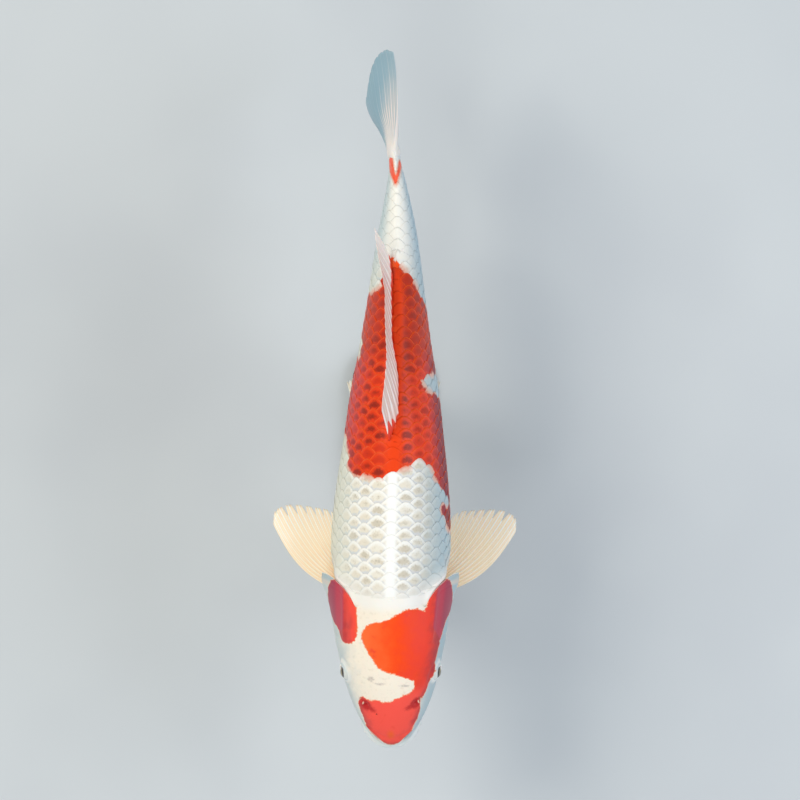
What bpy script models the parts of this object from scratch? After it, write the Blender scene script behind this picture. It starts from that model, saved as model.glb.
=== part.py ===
"""Koi carp, a still life-size model held level on a plain display stand.

The fish lies along +Y from snout to tail, +X is its own left side and +Z is up.
The flesh is one smooth body of cross-sections strung along a gently curved
spine, parted by thin planes into head, trunk and tail stalk.  Gill covers, eyes,
lower jaw, barbels and fins are separate solids with a thin gap to the flesh.
The origin is the centre of the underside of the stand.
"""
import math

import bmesh
import bpy
import numpy as np
from mathutils import Matrix, Vector

MM = 0.001
SMOOTH_ANGLE = math.radians(40)

# ---------------------------------------------------------------- driving sizes (mm)
SNOUT_Y = -230.0          # the snout lies this far ahead of the stand's centre
AXIS_HEIGHT = 172.0       # body axis above the ground
GAP = 0.3                 # air between neighbouring solids
HEAD_END = 122.0          # nape, where the scales begin
STALK_START = 424.0       # behind the anal fin
FLESH_END = 513.0         # root of the tail fin rays

# distance behind the snout -> half width of the flesh under the gill covers
HALF_WIDTH = [(0, 0), (6.5, 16.2), (12.5, 20.8), (24, 26.4), (41, 34.2), (65, 41.4),
              (80, 44.0), (95, 45.0), (125, 45.8), (140, 47.0), (152, 50.4), (174, 52.5),
              (204, 51.2), (230, 48.6), (273, 43.1), (308, 38.7), (342, 32.4), (377, 27.1),
              (411, 22.2), (446, 16.6), (471, 11.6), (487, 8.3), (502, 5.8), (513, 5.4)]
# height of the back and depth of the belly from the body axis
BACK = [(0, -8), (6.5, 4.5), (12.5, 10.5), (24, 19.5), (41, 30), (65, 41.5), (91, 51),
        (120, 59), (150, 65.5), (190, 71), (230, 74), (262, 75), (300, 72.5), (340, 66),
        (380, 56.5), (420, 44.5), (450, 36), (475, 30.5), (490, 28.5), (513, 28)]
BELLY = [(0, -8), (6.5, -18), (12.5, -22.5), (24, -28.5), (41, -34.5), (65, -41.5),
         (91, -47.5), (120, -53), (160, -58.5), (200, -62), (250, -63), (300, -60.5),
         (350, -52.5), (400, -41), (440, -32.5), (475, -28), (490, -27), (513, -27.5)]
WIDEST = [(0, -8), (24, -5), (65, -3), (110, -7), (150, -8), (260, -2), (400, 0), (513, 0)]
FULLNESS_TOP = [(0, 2.1), (65, 2.15), (120, 2.0), (260, 1.95), (513, 2.0)]
FULLNESS_LOW = [(0, 2.0), (65, 2.15), (150, 2.3), (260, 2.35), (400, 2.1), (513, 2.0)]
# sideways course of the spine: a gentle bend towards the fish's left at the tail
SPINE_X = [(0, -0.3), (40, -0.9), (140, -1.4), (180, -0.8), (273, 1.7), (342, 3.0), (411, 4.3),
           (455, 4.7), (487, 4.0), (505, 2.4), (513, 1.4), (600, -1.5)]
# how far the gill cover's outer face stands out from the flesh, along the body
COVER_STAND = [(82, 1.5), (100, 3.6), (119, 6.4), (134, 9.6), (142, 11.6), (150, 9.0)]
COVER_TOP = math.radians(50)
COVER_LOW = math.radians(-72)
COVER_REAR = 150.0        # its furthest point behind the snout
COVER_APEX = 0.42         # where that point lies on the way down
COVER_REAR_ABOVE, COVER_REAR_BELOW = 29.0, 46.0     # how far the rear edge runs forward to each end
COVER_ROUND_ABOVE, COVER_ROUND_BELOW = 4.0, 1.3     # how suddenly it does so
COVER_FRONT, COVER_FRONT_BOW, COVER_FRONT_RAKE = 84.0, 22.0, 6.0
# stand-off against the full one: share along the top and low edge, and how fast it opens from there
COVER_EASE_TOP, COVER_EASE_LOW = (0.05, 2.4), (0.12, 4.0)
COVER_FLUSH = 1.5         # stand-off along its fixed edges
COVER_WALL = 2.2
COVER_GAP = GAP + 0.1
COVER_LEAN = 0.55         # how much it opens up and down against sideways
COVER_SIDE_LEAST = 0.25   # keeps that direction from standing straight up

EYE_RADIUS = 8.8
EYE_AT = 66.0             # behind the snout
EYE_SIDE = 34.4           # centre out from the spine
EYE_UP = 13.5
EYE_FACETS = {"u_segments": 20, "v_segments": 10}
MOUTH_LEVEL = -8.6
JAW_LENGTH = 21.0
JAW_BLOCK_HALF, JAW_BLOCK_AHEAD = 60.0, 9.0         # the block that parts the jaw reaches well past it

ROD_RADIUS = 4.0
ROD_SPOTS = {"front": 158.0, "rear": 300.0}
BASE_LENGTH, BASE_WIDTH, BASE_THICK, BASE_CORNER = 230.0, 70.0, 9.0, 30.0
BASE_EDGE = 1.2

WHITE, CORAL, CREAM = (0.82, 0.79, 0.68), (0.78, 0.24, 0.14), (0.80, 0.70, 0.52)
ROSE, MIST, EYE_BLACK = (0.84, 0.74, 0.68), (0.66, 0.72, 0.74), (0.02, 0.02, 0.025)
BASE_BLACK, STEEL = (0.04, 0.04, 0.045), (0.55, 0.56, 0.58)
FLESH_GLOSS, EYE_GLOSS, BASE_GLOSS, STEEL_GLOSS = 0.45, 0.12, 0.35, 0.3     # roughness of each finish


# ---------------------------------------------------------------- smooth profiles
def profile(knots):
    """Monotone cubic through knots, run over the root of distance for a blunt snout."""
    at = np.sqrt(np.array([k[0] for k in knots], float))
    val = np.array([k[1] for k in knots], float)
    step, rise = np.diff(at), np.diff(val) / np.diff(at)
    slope = np.zeros(len(at))
    slope[0], slope[-1] = rise[0], rise[-1]
    for i in range(1, len(at) - 1):
        if rise[i - 1] * rise[i] > 0:
            slope[i] = 2 * rise[i - 1] * rise[i] / (rise[i - 1] + rise[i])

    def value(where):
        x = np.sqrt(np.clip(np.asarray(where, float), knots[0][0], knots[-1][0]))
        i = np.clip(np.searchsorted(at, x) - 1, 0, len(step) - 1)
        t = (x - at[i]) / step[i]
        return (val[i] * (1 + 2 * t) * (1 - t) ** 2 + slope[i] * step[i] * t * (1 - t) ** 2
                + val[i + 1] * t * t * (3 - 2 * t) - slope[i + 1] * step[i] * t * t * (1 - t))
    return value


half_width, back, belly = profile(HALF_WIDTH), profile(BACK), profile(BELLY)
widest, full_top, full_low = profile(WIDEST), profile(FULLNESS_TOP), profile(FULLNESS_LOW)
spine_x, cover_stand = profile(SPINE_X), profile(COVER_STAND)


def section(s, turn, extra=0.0):
    """Body-axis point (mm) s behind the snout, turned up from the left side (radians)."""
    s, turn = np.broadcast_arrays(np.asarray(s, float), np.asarray(turn, float))
    c, u = np.cos(turn), np.sin(turn)
    power = 2.0 / np.where(u >= 0, full_top(s), full_low(s))
    reach = np.where(u >= 0, back(s) - widest(s), widest(s) - belly(s))
    x = spine_x(s) + np.sign(c) * np.abs(c) ** power * (half_width(s) + extra)
    z = widest(s) + np.sign(u) * np.abs(u) ** power * reach
    return np.stack([x, s + SNOUT_Y, z], -1)


def clear_of_flesh(points, gap):
    """Push points in the cross-section plane until they stand off the flesh by gap."""
    out = np.array(points, float)
    flat = out.reshape(-1, 3)
    for p in flat:
        s = p[1] - SNOUT_Y
        if not 0.5 < s < FLESH_END:
            continue
        dx, dz = p[0] - spine_x(s), p[2] - widest(s)
        reach = back(s) - widest(s) if dz >= 0 else widest(s) - belly(s)
        power = float(full_top(s) if dz >= 0 else full_low(s))
        level = (abs(dx / half_width(s)) ** power + abs(dz / reach) ** power) ** (1 / power)
        radius = math.hypot(dx, dz)
        wanted = radius / level + gap
        if radius < wanted:
            p[0], p[2] = p[0] + dx * (wanted / radius - 1), p[2] + dz * (wanted / radius - 1)
    return out


# ---------------------------------------------------------------- solids
def add_object(name, verts, faces, colour, rough=FLESH_GLOSS, metal=0.0):
    """Make a closed body with its faces outward and its own material, hung on the body axis."""
    mesh = bpy.data.meshes.new(name)
    mesh.from_pydata([(x * MM, y * MM, z * MM) for x, y, z in verts], [], faces)
    bm = bmesh.new()
    bm.from_mesh(mesh)
    bmesh.ops.remove_doubles(bm, verts=bm.verts, dist=1e-6)
    bmesh.ops.recalc_face_normals(bm, faces=bm.faces)
    bm.to_mesh(mesh)
    bm.free()
    mesh.shade_smooth()
    mesh.set_sharp_from_angle(angle=SMOOTH_ANGLE)
    obj = bpy.data.objects.new(name, mesh)
    obj.parent = bpy.data.objects["body_axis"]
    bpy.context.scene.collection.objects.link(obj)
    mat = bpy.data.materials.new(name + "_finish")
    mat.use_nodes = True
    shader = mat.node_tree.nodes["Principled BSDF"]
    shader.inputs["Base Color"].default_value = (*colour, 1.0)
    shader.inputs["Roughness"].default_value = rough
    shader.inputs["Metallic"].default_value = metal
    mat.diffuse_color = (*colour, 1.0)
    mesh.materials.append(mat)
    return obj


def loft(rings, pole=None):
    """Join closed rings end to end; the first may run to a pole, the ends are capped."""
    rings = np.asarray(rings, float)
    rows, count = rings.shape[:2]
    verts = [tuple(p) for ring in rings for p in ring]
    faces = []
    for r in range(rows - 1):
        for i in range(count):
            j = (i + 1) % count
            faces.append((r * count + i, r * count + j, (r + 1) * count + j,
                          (r + 1) * count + i))
    if pole is None:
        faces.append(tuple(range(count)))
    else:
        verts.append(tuple(pole))
        faces += [(len(verts) - 1, i, (i + 1) % count) for i in range(count)]
    faces.append(tuple(range((rows - 1) * count, rows * count)))
    return verts, faces


def two_sided(upper, lower):
    """Close two equal grids of points into one thin body."""
    rows, cols = upper.shape[:2]
    verts = [tuple(p) for p in upper.reshape(-1, 3)] + [tuple(p) for p in lower.reshape(-1, 3)]
    half = rows * cols

    def at(r, c):
        return r * cols + c
    faces = []
    for r in range(rows - 1):
        for c in range(cols - 1):
            quad = (at(r, c), at(r, c + 1), at(r + 1, c + 1), at(r + 1, c))
            faces += [quad, tuple(half + k for k in reversed(quad))]
    rim = [(0, c) for c in range(cols)] + [(r, cols - 1) for r in range(1, rows)]
    rim += [(rows - 1, c) for c in range(cols - 2, -1, -1)] + [(r, 0) for r in range(rows - 2, 0, -1)]
    for k, spot in enumerate(rim):
        a, b = at(*spot), at(*rim[(k + 1) % len(rim)])
        faces.append((a, b, half + b, half + a))
    return verts, faces


def sheet(grid, thick):
    """Thicken a grid of points (rays, along, xyz) to both sides, all of it off the flesh."""
    grid = clear_of_flesh(grid, FIN_MIDDLE_GAP)
    along = np.gradient(grid, axis=1)
    across = np.gradient(grid, axis=0)
    normal = np.cross(across, along)
    normal /= np.maximum(np.linalg.norm(normal, axis=2, keepdims=True), 1e-9)
    offset = normal * thick[..., None] / 2
    offset[:, 0, 1] = 0.0
    return two_sided(clear_of_flesh(grid + offset, FIN_GAP), clear_of_flesh(grid - offset, FIN_GAP))


def flesh(name, start, end, rings, around=34):
    """One length of the body between two planes across it; the first closes on the snout."""
    turn = np.linspace(0, 2 * math.pi, around, endpoint=False)
    if start > 0:
        spots, pole = np.linspace(start, end, rings), None
    else:
        spots = np.linspace(math.sqrt(0.5), math.sqrt(end), rings) ** 2
        pole = (spine_x(0), SNOUT_Y, belly(0))
    return add_object(name, *loft([section(s, turn) for s in spots], pole), WHITE)


def add_primitive(name, kind, place, colour, rough=FLESH_GLOSS, metal=0.0, **sizes):
    """One of bmesh's own shapes, sized in mm and set in place by a matrix."""
    bm = bmesh.new()
    getattr(bmesh.ops, "create_" + kind)(bm, matrix=place, **sizes)
    verts = [tuple(v.co) for v in bm.verts]
    faces = [[v.index for v in f.verts] for f in bm.faces]
    bm.free()
    return add_object(name, verts, faces, colour, rough, metal)


def block(name, low, high):
    """A cutting block between two corners."""
    low, high = Vector(low), Vector(high)
    place = Matrix.Translation((low + high) / 2) @ Matrix.Diagonal((*(high - low), 1.0))
    return add_primitive(name, "cube", place, WHITE, size=1.0)


def cut(target, cutter, operation="DIFFERENCE"):
    """Apply an exact boolean and drop the cutter."""
    cutter.hide_render = True
    cutter.display_type = "WIRE"
    mod = target.modifiers.new("cut", "BOOLEAN")
    mod.operation, mod.solver, mod.object = operation, "EXACT", cutter
    bpy.context.view_layer.update()
    deps = bpy.context.evaluated_depsgraph_get()
    fresh = bpy.data.meshes.new_from_object(target.evaluated_get(deps))
    target.modifiers.clear()
    old = target.data
    target.data = fresh
    bpy.data.meshes.remove(old)
    bpy.data.objects.remove(cutter)


# ---------------------------------------------------------------- body parts
def build_flesh():
    """Head with eye sockets and a parted lower jaw, trunk and tail stalk."""
    head = flesh("head", 0, HEAD_END - GAP, 21)
    for side, hand in ((1, "left"), (-1, "right")):
        centre = (spine_x(EYE_AT) + side * EYE_SIDE, SNOUT_Y + EYE_AT, EYE_UP)
        place = Matrix.Translation(centre) @ Matrix.Rotation(math.pi / 2, 4, "Y")
        cut(head, add_primitive("socket", "uvsphere", place, WHITE, radius=EYE_RADIUS + GAP, **EYE_FACETS))
        add_primitive("eye_" + hand, "uvsphere", place, EYE_BLACK, EYE_GLOSS, radius=EYE_RADIUS, **EYE_FACETS)
    jaw = head.copy()
    jaw.data = head.data.copy()
    jaw.name = jaw.data.name = "jaw_lower"
    bpy.context.scene.collection.objects.link(jaw)
    half, jaw_end = JAW_BLOCK_HALF, SNOUT_Y + JAW_LENGTH
    corner = (-half, SNOUT_Y - JAW_BLOCK_AHEAD, -half)
    cut(jaw, block("jaw_block", corner, (half, jaw_end, MOUTH_LEVEL)), "INTERSECT")
    cut(head, block("jaw_room", corner, (half, jaw_end + GAP, MOUTH_LEVEL + GAP)))
    flesh("trunk", HEAD_END, STALK_START - GAP, 26)
    flesh("tail_stalk", STALK_START, FLESH_END, 10)


def cover_edges(down):
    """Front and rear edge of a gill cover, behind the snout, at a share of the way down it."""
    front = COVER_FRONT + COVER_FRONT_BOW * (2 * down - 1) ** 2 - COVER_FRONT_RAKE * down
    if down < COVER_APEX:
        return front, COVER_REAR - COVER_REAR_ABOVE * (1 - down / COVER_APEX) ** COVER_ROUND_ABOVE
    below = (down - COVER_APEX) / (1 - COVER_APEX)
    return front, COVER_REAR - COVER_REAR_BELOW * below ** COVER_ROUND_BELOW


def build_gill_covers():
    """Curved plates that lie on the cheeks in front and stand open at the rear."""
    rows, cols = 11, 8
    for side, hand in ((1, "left"), (-1, "right")):
        outer, inner = np.zeros((rows, cols, 3)), np.zeros((rows, cols, 3))
        for r in range(rows):
            down = r / (rows - 1)
            turn = COVER_TOP + (COVER_LOW - COVER_TOP) * down
            aside = turn if side > 0 else math.pi - turn
            from_top = COVER_EASE_TOP[0] + COVER_EASE_TOP[1] * down
            from_low = COVER_EASE_LOW[0] + COVER_EASE_LOW[1] * (1 - down)
            opened = math.sin(min(1.0, from_top, from_low) * math.pi / 2)
            for c, s in enumerate(np.linspace(*cover_edges(down), cols)):
                stand = COVER_FLUSH + (cover_stand(s) - COVER_FLUSH) * opened
                skin = section(s, aside)
                wider = section(s, aside, 1.0)
                aslant = max(abs(wider[0] - skin[0]), COVER_SIDE_LEAST)
                out = np.array([side * aslant, 0, COVER_LEAN * math.sin(turn)])
                out /= np.linalg.norm(out)
                outer[r, c] = skin + out * stand
                inner[r, c] = skin + out * max(COVER_GAP, stand - COVER_WALL)
        add_object("gill_cover_" + hand, *two_sided(outer, clear_of_flesh(inner, COVER_GAP)), CORAL)


def tube(points, radii, around=8):
    """Round body along a line of points, closed at both ends."""
    points = [Vector(p) for p in points]
    rings = []
    for i, p in enumerate(points):
        ahead = points[min(i + 1, len(points) - 1)] - points[max(i - 1, 0)]
        ahead.normalize()
        a = ahead.cross(Vector((0, 0, 1)) if abs(ahead.z) < 0.9 else Vector((0, 1, 0))).normalized()
        b = ahead.cross(a)
        rings.append([tuple(p + radii[i] * (a * math.cos(t) + b * math.sin(t)))
                      for t in (2 * math.pi * k / around for k in range(around))])
    return loft(rings)


# behind the snout, turn from the side line, length, thickness at the root
BARBELS = {"lip": (13.0, math.radians(-14), 11.0, 1.1), "corner": (19.5, math.radians(-20), 17.0, 1.4)}
BARBEL_OUT = (0.55, -0.30, -0.78)         # the way it stands off the lip
BARBEL_OFF, BARBEL_BOW, BARBEL_RAKE, BARBEL_HANG = GAP + 0.35, 1.4, 0.16, 0.9
BARBEL_CURL, BARBEL_DROP, BARBEL_TAPER = 1.6, 1.5, 0.6


def build_barbels():
    """Two pairs of feelers: short on the upper lip, longer at the mouth's corners."""
    steps = 5
    for kind, (s, turn, length, thick) in BARBELS.items():
        for side, hand in ((1, "left"), (-1, "right")):
            root = section(s, turn if side > 0 else math.pi - turn)
            out = np.array(BARBEL_OUT) * (side, 1, 1)
            points, radii = [], []
            for k in range(steps + 1):
                t = k / steps
                hang = np.array([side * BARBEL_BOW * math.sin(BARBEL_CURL * t), BARBEL_RAKE * length * t * t,
                                 -length * BARBEL_HANG * t ** BARBEL_DROP])
                points.append(root + out * (thick + BARBEL_OFF) + hang)
                radii.append(thick * (1 - BARBEL_TAPER * t))
            add_object("barbel_%s_%s" % (kind, hand), *tube(points, radii), CREAM)


# ---------------------------------------------------------------- fins
FIN_EDGE = 0.8            # thickness of every fin at its free edge
FIN_TAPER = 1.5           # how soon it thins behind its root
FIN_MIDDLE_GAP, FIN_GAP = 1.6, 0.45       # off the flesh: the fin's middle surface and its two faces


def taper(rays, along, root):
    """Thickness of a fin, falling from its root to its edge."""
    t = np.linspace(0, 1, along)
    return np.tile(FIN_EDGE + (root - FIN_EDGE) * (1 - t) ** FIN_TAPER, (rays, 1))


def at_knots(knots, where):
    """Straight reading between knots."""
    return float(np.interp(where, [k[0] for k in knots], [k[1] for k in knots]))


# pectoral fins: share across the fan -> length of the ray; angles in degrees
PECTORAL_REACH = profile([(0, 86), (0.08, 92.5), (0.17, 96), (0.3, 93.5), (0.46, 86.5), (0.65, 78),
                          (0.84, 71.5), (1, 62)])
PECTORAL_LEAD = {"left": 57.0, "right": 51.0}        # leading ray, out from the tail
PECTORAL_SIZE = {"left": 1.02, "right": 1.0}
PECTORAL_FAN, PECTORAL_DROOP = 42.0, 9.0
PECTORAL_START, PECTORAL_ROOT, PECTORAL_HUB = 129.0, 22.0, 134.0
PECTORAL_TURN, PECTORAL_TWIST = -47.0, -3.0
PECTORAL_BOW, PECTORAL_ARCH, PECTORAL_THICK = 0.125, 3.0, 2.4


def build_pectorals():
    """Broad fans from low behind the gill covers, spread and drooping a little."""
    rays, along = 13, 9
    for side, hand in ((1, "left"), (-1, "right")):
        def place(s, turn):
            return section(s, math.radians(turn) if side > 0 else math.pi - math.radians(turn))
        hub = place(PECTORAL_HUB, PECTORAL_TURN)
        grid = np.zeros((rays, along, 3))
        for i in range(rays):
            f = i / (rays - 1)
            root = place(PECTORAL_START + PECTORAL_ROOT * f, PECTORAL_TURN + PECTORAL_TWIST * f)
            angle = math.radians(PECTORAL_LEAD[hand] - PECTORAL_FAN * f)
            reach = float(PECTORAL_REACH(f)) * PECTORAL_SIZE[hand]
            drop = math.sin(math.radians(PECTORAL_DROOP))
            chord = hub + reach * np.array([side * math.sin(angle), math.cos(angle), -drop]) - root
            bow = np.array([side * chord[1], -abs(chord[0]), 0]) * PECTORAL_BOW * (1 - f) ** 1.5
            bow[2] = PECTORAL_ARCH
            for k in range(along):
                t = k / (along - 1)
                grid[i, k] = root + chord * t + bow * math.sin(math.pi * t)
        add_object("fin_pectoral_" + hand, *sheet(grid, taper(rays, along, PECTORAL_THICK)), CREAM)


PELVIC_REACH = profile([(0, 60), (0.5, 55.5), (0.8, 46.5), (1, 36)])
PELVIC_START, PELVIC_ROOT, PELVIC_TURN, PELVIC_TWIST = 262.0, 13.0, -62.0, -9.0
PELVIC_LEAD, PELVIC_FAN, PELVIC_DROOP, PELVIC_LIFT = 17.0, 13.0, 24.0, 4.0
PELVIC_BOW, PELVIC_THICK = (1.0, 0.0, -1.4), 2.2


def build_pelvics():
    """Smaller fans under the belly below the front of the back fin."""
    rays, along = 9, 8
    for side, hand in ((1, "left"), (-1, "right")):
        bow = np.array(PELVIC_BOW) * (side, 1, 1)
        grid = np.zeros((rays, along, 3))
        for i in range(rays):
            f = i / (rays - 1)
            turn = math.radians(PELVIC_TURN + PELVIC_TWIST * f)
            root = section(PELVIC_START + PELVIC_ROOT * f, turn if side > 0 else math.pi - turn)
            angle = math.radians(PELVIC_LEAD - PELVIC_FAN * f)
            drop = math.radians(PELVIC_DROOP - PELVIC_LIFT * f)
            away = np.array([side * math.sin(angle), math.cos(angle) * math.cos(drop), -math.sin(drop)])
            for k in range(along):
                t = k / (along - 1)
                grid[i, k] = root + away * float(PELVIC_REACH(f)) * t + bow * math.sin(math.pi * t)
        add_object("fin_pelvic_" + hand, *sheet(grid, taper(rays, along, PELVIC_THICK)), CREAM)


# back fin: share along its foot -> length and rise (degrees) of the ray, sideways places of its
# foot and of its free edge
DORSAL_START, DORSAL_END = 264.0, 421.0
DORSAL_LENGTH = profile([(0, 36), (0.05, 44), (0.15, 45), (0.4, 36), (0.75, 28), (1, 27)])
DORSAL_RISE = profile([(0, 44), (0.15, 38), (0.6, 30), (1, 21)])
DORSAL_FOOT = [(0, -2.6), (0.083, 1.5), (0.146, 4.7), (0.33, 4.8), (0.42, 3.0), (0.53, -0.3), (0.82, -0.5),
               (0.88, 0.3), (1, -2.2)]
DORSAL_EDGE = [(0, -8.6), (0.07, -6.8), (0.17, -5.2), (0.25, -4.5), (0.36, -5.3), (0.5, -6), (0.65, -6),
               (0.75, -8.5), (0.85, -12), (0.93, -14), (1, -15)]
DORSAL_THICK, DORSAL_SWEEP = 2.4, 1.2


def build_dorsal():
    """Long back fin, half lowered and leaning towards the fish's right."""
    rays, along = 19, 6
    grid = np.zeros((rays, along, 3))
    for i in range(rays):
        f = i / (rays - 1)
        s = DORSAL_START + (DORSAL_END - DORSAL_START) * f
        up = math.radians(float(DORSAL_RISE(f)))
        foot, edge = at_knots(DORSAL_FOOT, f), at_knots(DORSAL_EDGE, f)
        for k in range(along):
            t = k / (along - 1)
            run = float(DORSAL_LENGTH(f)) * t
            grid[i, k] = (foot + (edge - foot) * t ** DORSAL_SWEEP, SNOUT_Y + s + run * math.cos(up),
                          back(s) + run * math.sin(up))
    add_object("fin_dorsal", *sheet(grid, taper(rays, along, DORSAL_THICK)), ROSE)


# anal fin: first and last ray
ANAL_SPOT, ANAL_RAKE, ANAL_REACH = (392.0, 420.0), (50.0, 34.0), (47.0, 25.0)
ANAL_LEAN, ANAL_THICK = 3.0, 2.2


def build_anal():
    """Short fin under the tail, raked back."""
    rays, along = 8, 7
    grid = np.zeros((rays, along, 3))
    for i in range(rays):
        f = i / (rays - 1)
        s, rake, reach = (a + (b - a) * f for a, b in (ANAL_SPOT, ANAL_RAKE, ANAL_REACH))
        down = math.radians(rake)
        for k in range(along):
            t = k / (along - 1)
            grid[i, k] = (spine_x(s) - ANAL_LEAN * t * t, SNOUT_Y + s + reach * t * math.cos(down),
                          belly(s) - reach * t * math.sin(down))
    add_object("fin_anal", *sheet(grid, taper(rays, along, ANAL_THICK)), CREAM)


# tail fin: share out from the middle ray -> where it ends; then along the body, how far the
# middle leans to the right, where the outer rays lie and how thick the fin is
TAIL_TIP = profile([(0, 552), (0.25, 560), (0.42, 570), (0.52, 578), (0.62, 585.5), (0.72, 591.5),
                    (0.84, 596), (0.92, 597.5), (1, 595)])
TAIL_LEAN = profile([(505, 0), (511, 0.1), (514, 0.6), (517, 2.5), (524.5, 8), (533, 14.5), (540, 20.5),
                     (548.6, 25), (557, 27.5), (574, 30.5), (600, 33)])
TAIL_EDGE_X = profile([(500, 2.4), (505, 2.2), (513, 1.6), (519, 2.9), (530, 4.4), (540, 5.0), (566, 4.6),
                       (588, 2.8), (600, 0.2)])
TAIL_THICKNESS = [(510, 10.2), (513, 11.0), (517, 9.6), (524.5, 7), (533, 4.4), (540, 2.6), (548, 1.6),
                  (560, 1.0), (600, 0.8)]
TAIL_ROOT_HALF, TAIL_HALF_SPAN, TAIL_SPREAD_LENGTH = 26.5, 75.0, 86.0
TAIL_SPREAD_EASE, TAIL_GAP = 0.9, GAP + 0.05
TAIL_ROUND = 0.95         # how nearly the root's section closes at its upper and lower edge
TAIL_FLESHY_END = 540.0
TAIL_CROWD = 1.3          # points along a ray lie closer together towards its root


def build_tail_fin():
    """Forked fin, fleshy at the root and cupped towards the fish's right as it beats."""
    rays, along = 21, 10
    start = FLESH_END + TAIL_GAP
    grid, thick = np.zeros((rays, along, 3)), np.zeros((rays, along))
    for i in range(rays):
        level = 2 * i / (rays - 1) - 1
        tip = float(TAIL_TIP(abs(level)))
        for k in range(along):
            s = start + (tip - start) * (k / (along - 1)) ** TAIL_CROWD
            widening = ((s - start) / TAIL_SPREAD_LENGTH) ** TAIL_SPREAD_EASE
            spread = TAIL_ROOT_HALF + (TAIL_HALF_SPAN - TAIL_ROOT_HALF) * widening
            grid[i, k] = (float(TAIL_EDGE_X(s)) - float(TAIL_LEAN(s)) * (1 - level * level),
                          SNOUT_Y + s, level * spread)
            flat = min(1.0, (s - start) / (TAIL_FLESHY_END - start))
            rounded = math.sqrt(1 - (TAIL_ROUND * level) ** 2)
            thick[i, k] = max(FIN_EDGE, at_knots(TAIL_THICKNESS, s) * (rounded + (1 - rounded) * flat))
    add_object("fin_tail", *sheet(grid, thick), MIST)


# ---------------------------------------------------------------- stand
def build_stand():
    """Flat base with softened edges and two rods that end just under the belly."""
    floor = -AXIS_HEIGHT
    outline = []
    arc = 12
    dx, dy = BASE_WIDTH / 2 - BASE_CORNER, BASE_LENGTH / 2 - BASE_CORNER
    for q in range(4):
        mid = (dx if q in (0, 3) else -dx, dy if q in (0, 1) else -dy)
        outline += [(mid, math.radians(90 * q + 90 * k / arc)) for k in range(arc + 1)]

    def ring(inset, z):
        return [(m[0] + (BASE_CORNER - inset) * math.cos(a), m[1] + (BASE_CORNER - inset) * math.sin(a), z)
                for m, a in outline]
    top = floor + BASE_THICK
    rings = [ring(0, floor), ring(0, top - BASE_EDGE), ring(BASE_EDGE, top)]
    add_object("stand_base", *loft(rings), BASE_BLACK, BASE_GLOSS)
    for name, s in ROD_SPOTS.items():
        low, high = top + GAP, min(belly(s - ROD_RADIUS), belly(s + ROD_RADIUS)) - GAP
        place = Matrix.Translation((spine_x(s), SNOUT_Y + s, (low + high) / 2))
        add_primitive("stand_rod_" + name, "cone", place, STEEL, STEEL_GLOSS, 1.0, cap_ends=True, segments=20,
                      radius1=ROD_RADIUS, radius2=ROD_RADIUS, depth=high - low)


def main():
    for obj in list(bpy.data.objects):
        bpy.data.objects.remove(obj)
    axis = bpy.data.objects.new("body_axis", None)
    axis.location.z = AXIS_HEIGHT * MM
    bpy.context.scene.collection.objects.link(axis)
    build_flesh()
    build_gill_covers()
    build_barbels()
    build_pectorals()
    build_pelvics()
    build_dorsal()
    build_anal()
    build_tail_fin()
    build_stand()


main()
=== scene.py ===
"""Koi carp, the looks: one skin, overlapping scales, rayed fins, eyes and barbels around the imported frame.

The fish lies along +Y from snout to tail, +X is its own left side and +Z is up.
Body sizes are in millimetres from the snout tip and from the body axis, and are
turned to metres in one place.
"""
import math

import bpy
import numpy as np
from bpy.props import FloatProperty, FloatVectorProperty, PointerProperty
from bpy.types import Operator, Panel, PropertyGroup
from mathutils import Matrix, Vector


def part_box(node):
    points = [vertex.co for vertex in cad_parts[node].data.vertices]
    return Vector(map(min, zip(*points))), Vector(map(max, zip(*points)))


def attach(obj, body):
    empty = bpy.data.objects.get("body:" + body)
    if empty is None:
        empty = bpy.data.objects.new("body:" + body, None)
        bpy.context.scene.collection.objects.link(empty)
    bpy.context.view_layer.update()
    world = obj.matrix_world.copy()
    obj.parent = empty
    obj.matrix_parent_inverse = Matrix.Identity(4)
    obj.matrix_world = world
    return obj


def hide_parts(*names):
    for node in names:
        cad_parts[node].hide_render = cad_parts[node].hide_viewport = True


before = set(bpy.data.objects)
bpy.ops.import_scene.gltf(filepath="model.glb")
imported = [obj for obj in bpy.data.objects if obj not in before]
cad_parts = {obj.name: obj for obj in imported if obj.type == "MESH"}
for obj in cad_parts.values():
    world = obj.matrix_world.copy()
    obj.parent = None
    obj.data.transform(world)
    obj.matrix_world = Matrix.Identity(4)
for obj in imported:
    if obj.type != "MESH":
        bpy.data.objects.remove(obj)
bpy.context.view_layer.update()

bl_info = {
    "name": "Koi carp model",
    "version": (1, 0, 0),
    "blender": (4, 5, 0),
    "location": "3D View > Sidebar > Koi",
    "description": "Builds the skin, scales, fins and eyes of a life-size koi carp around its frame",
    "category": "Object",
}

MM = 0.001
SIDES = {"left": 1.0, "right": -1.0}       # the fish's own left is +X

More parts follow.
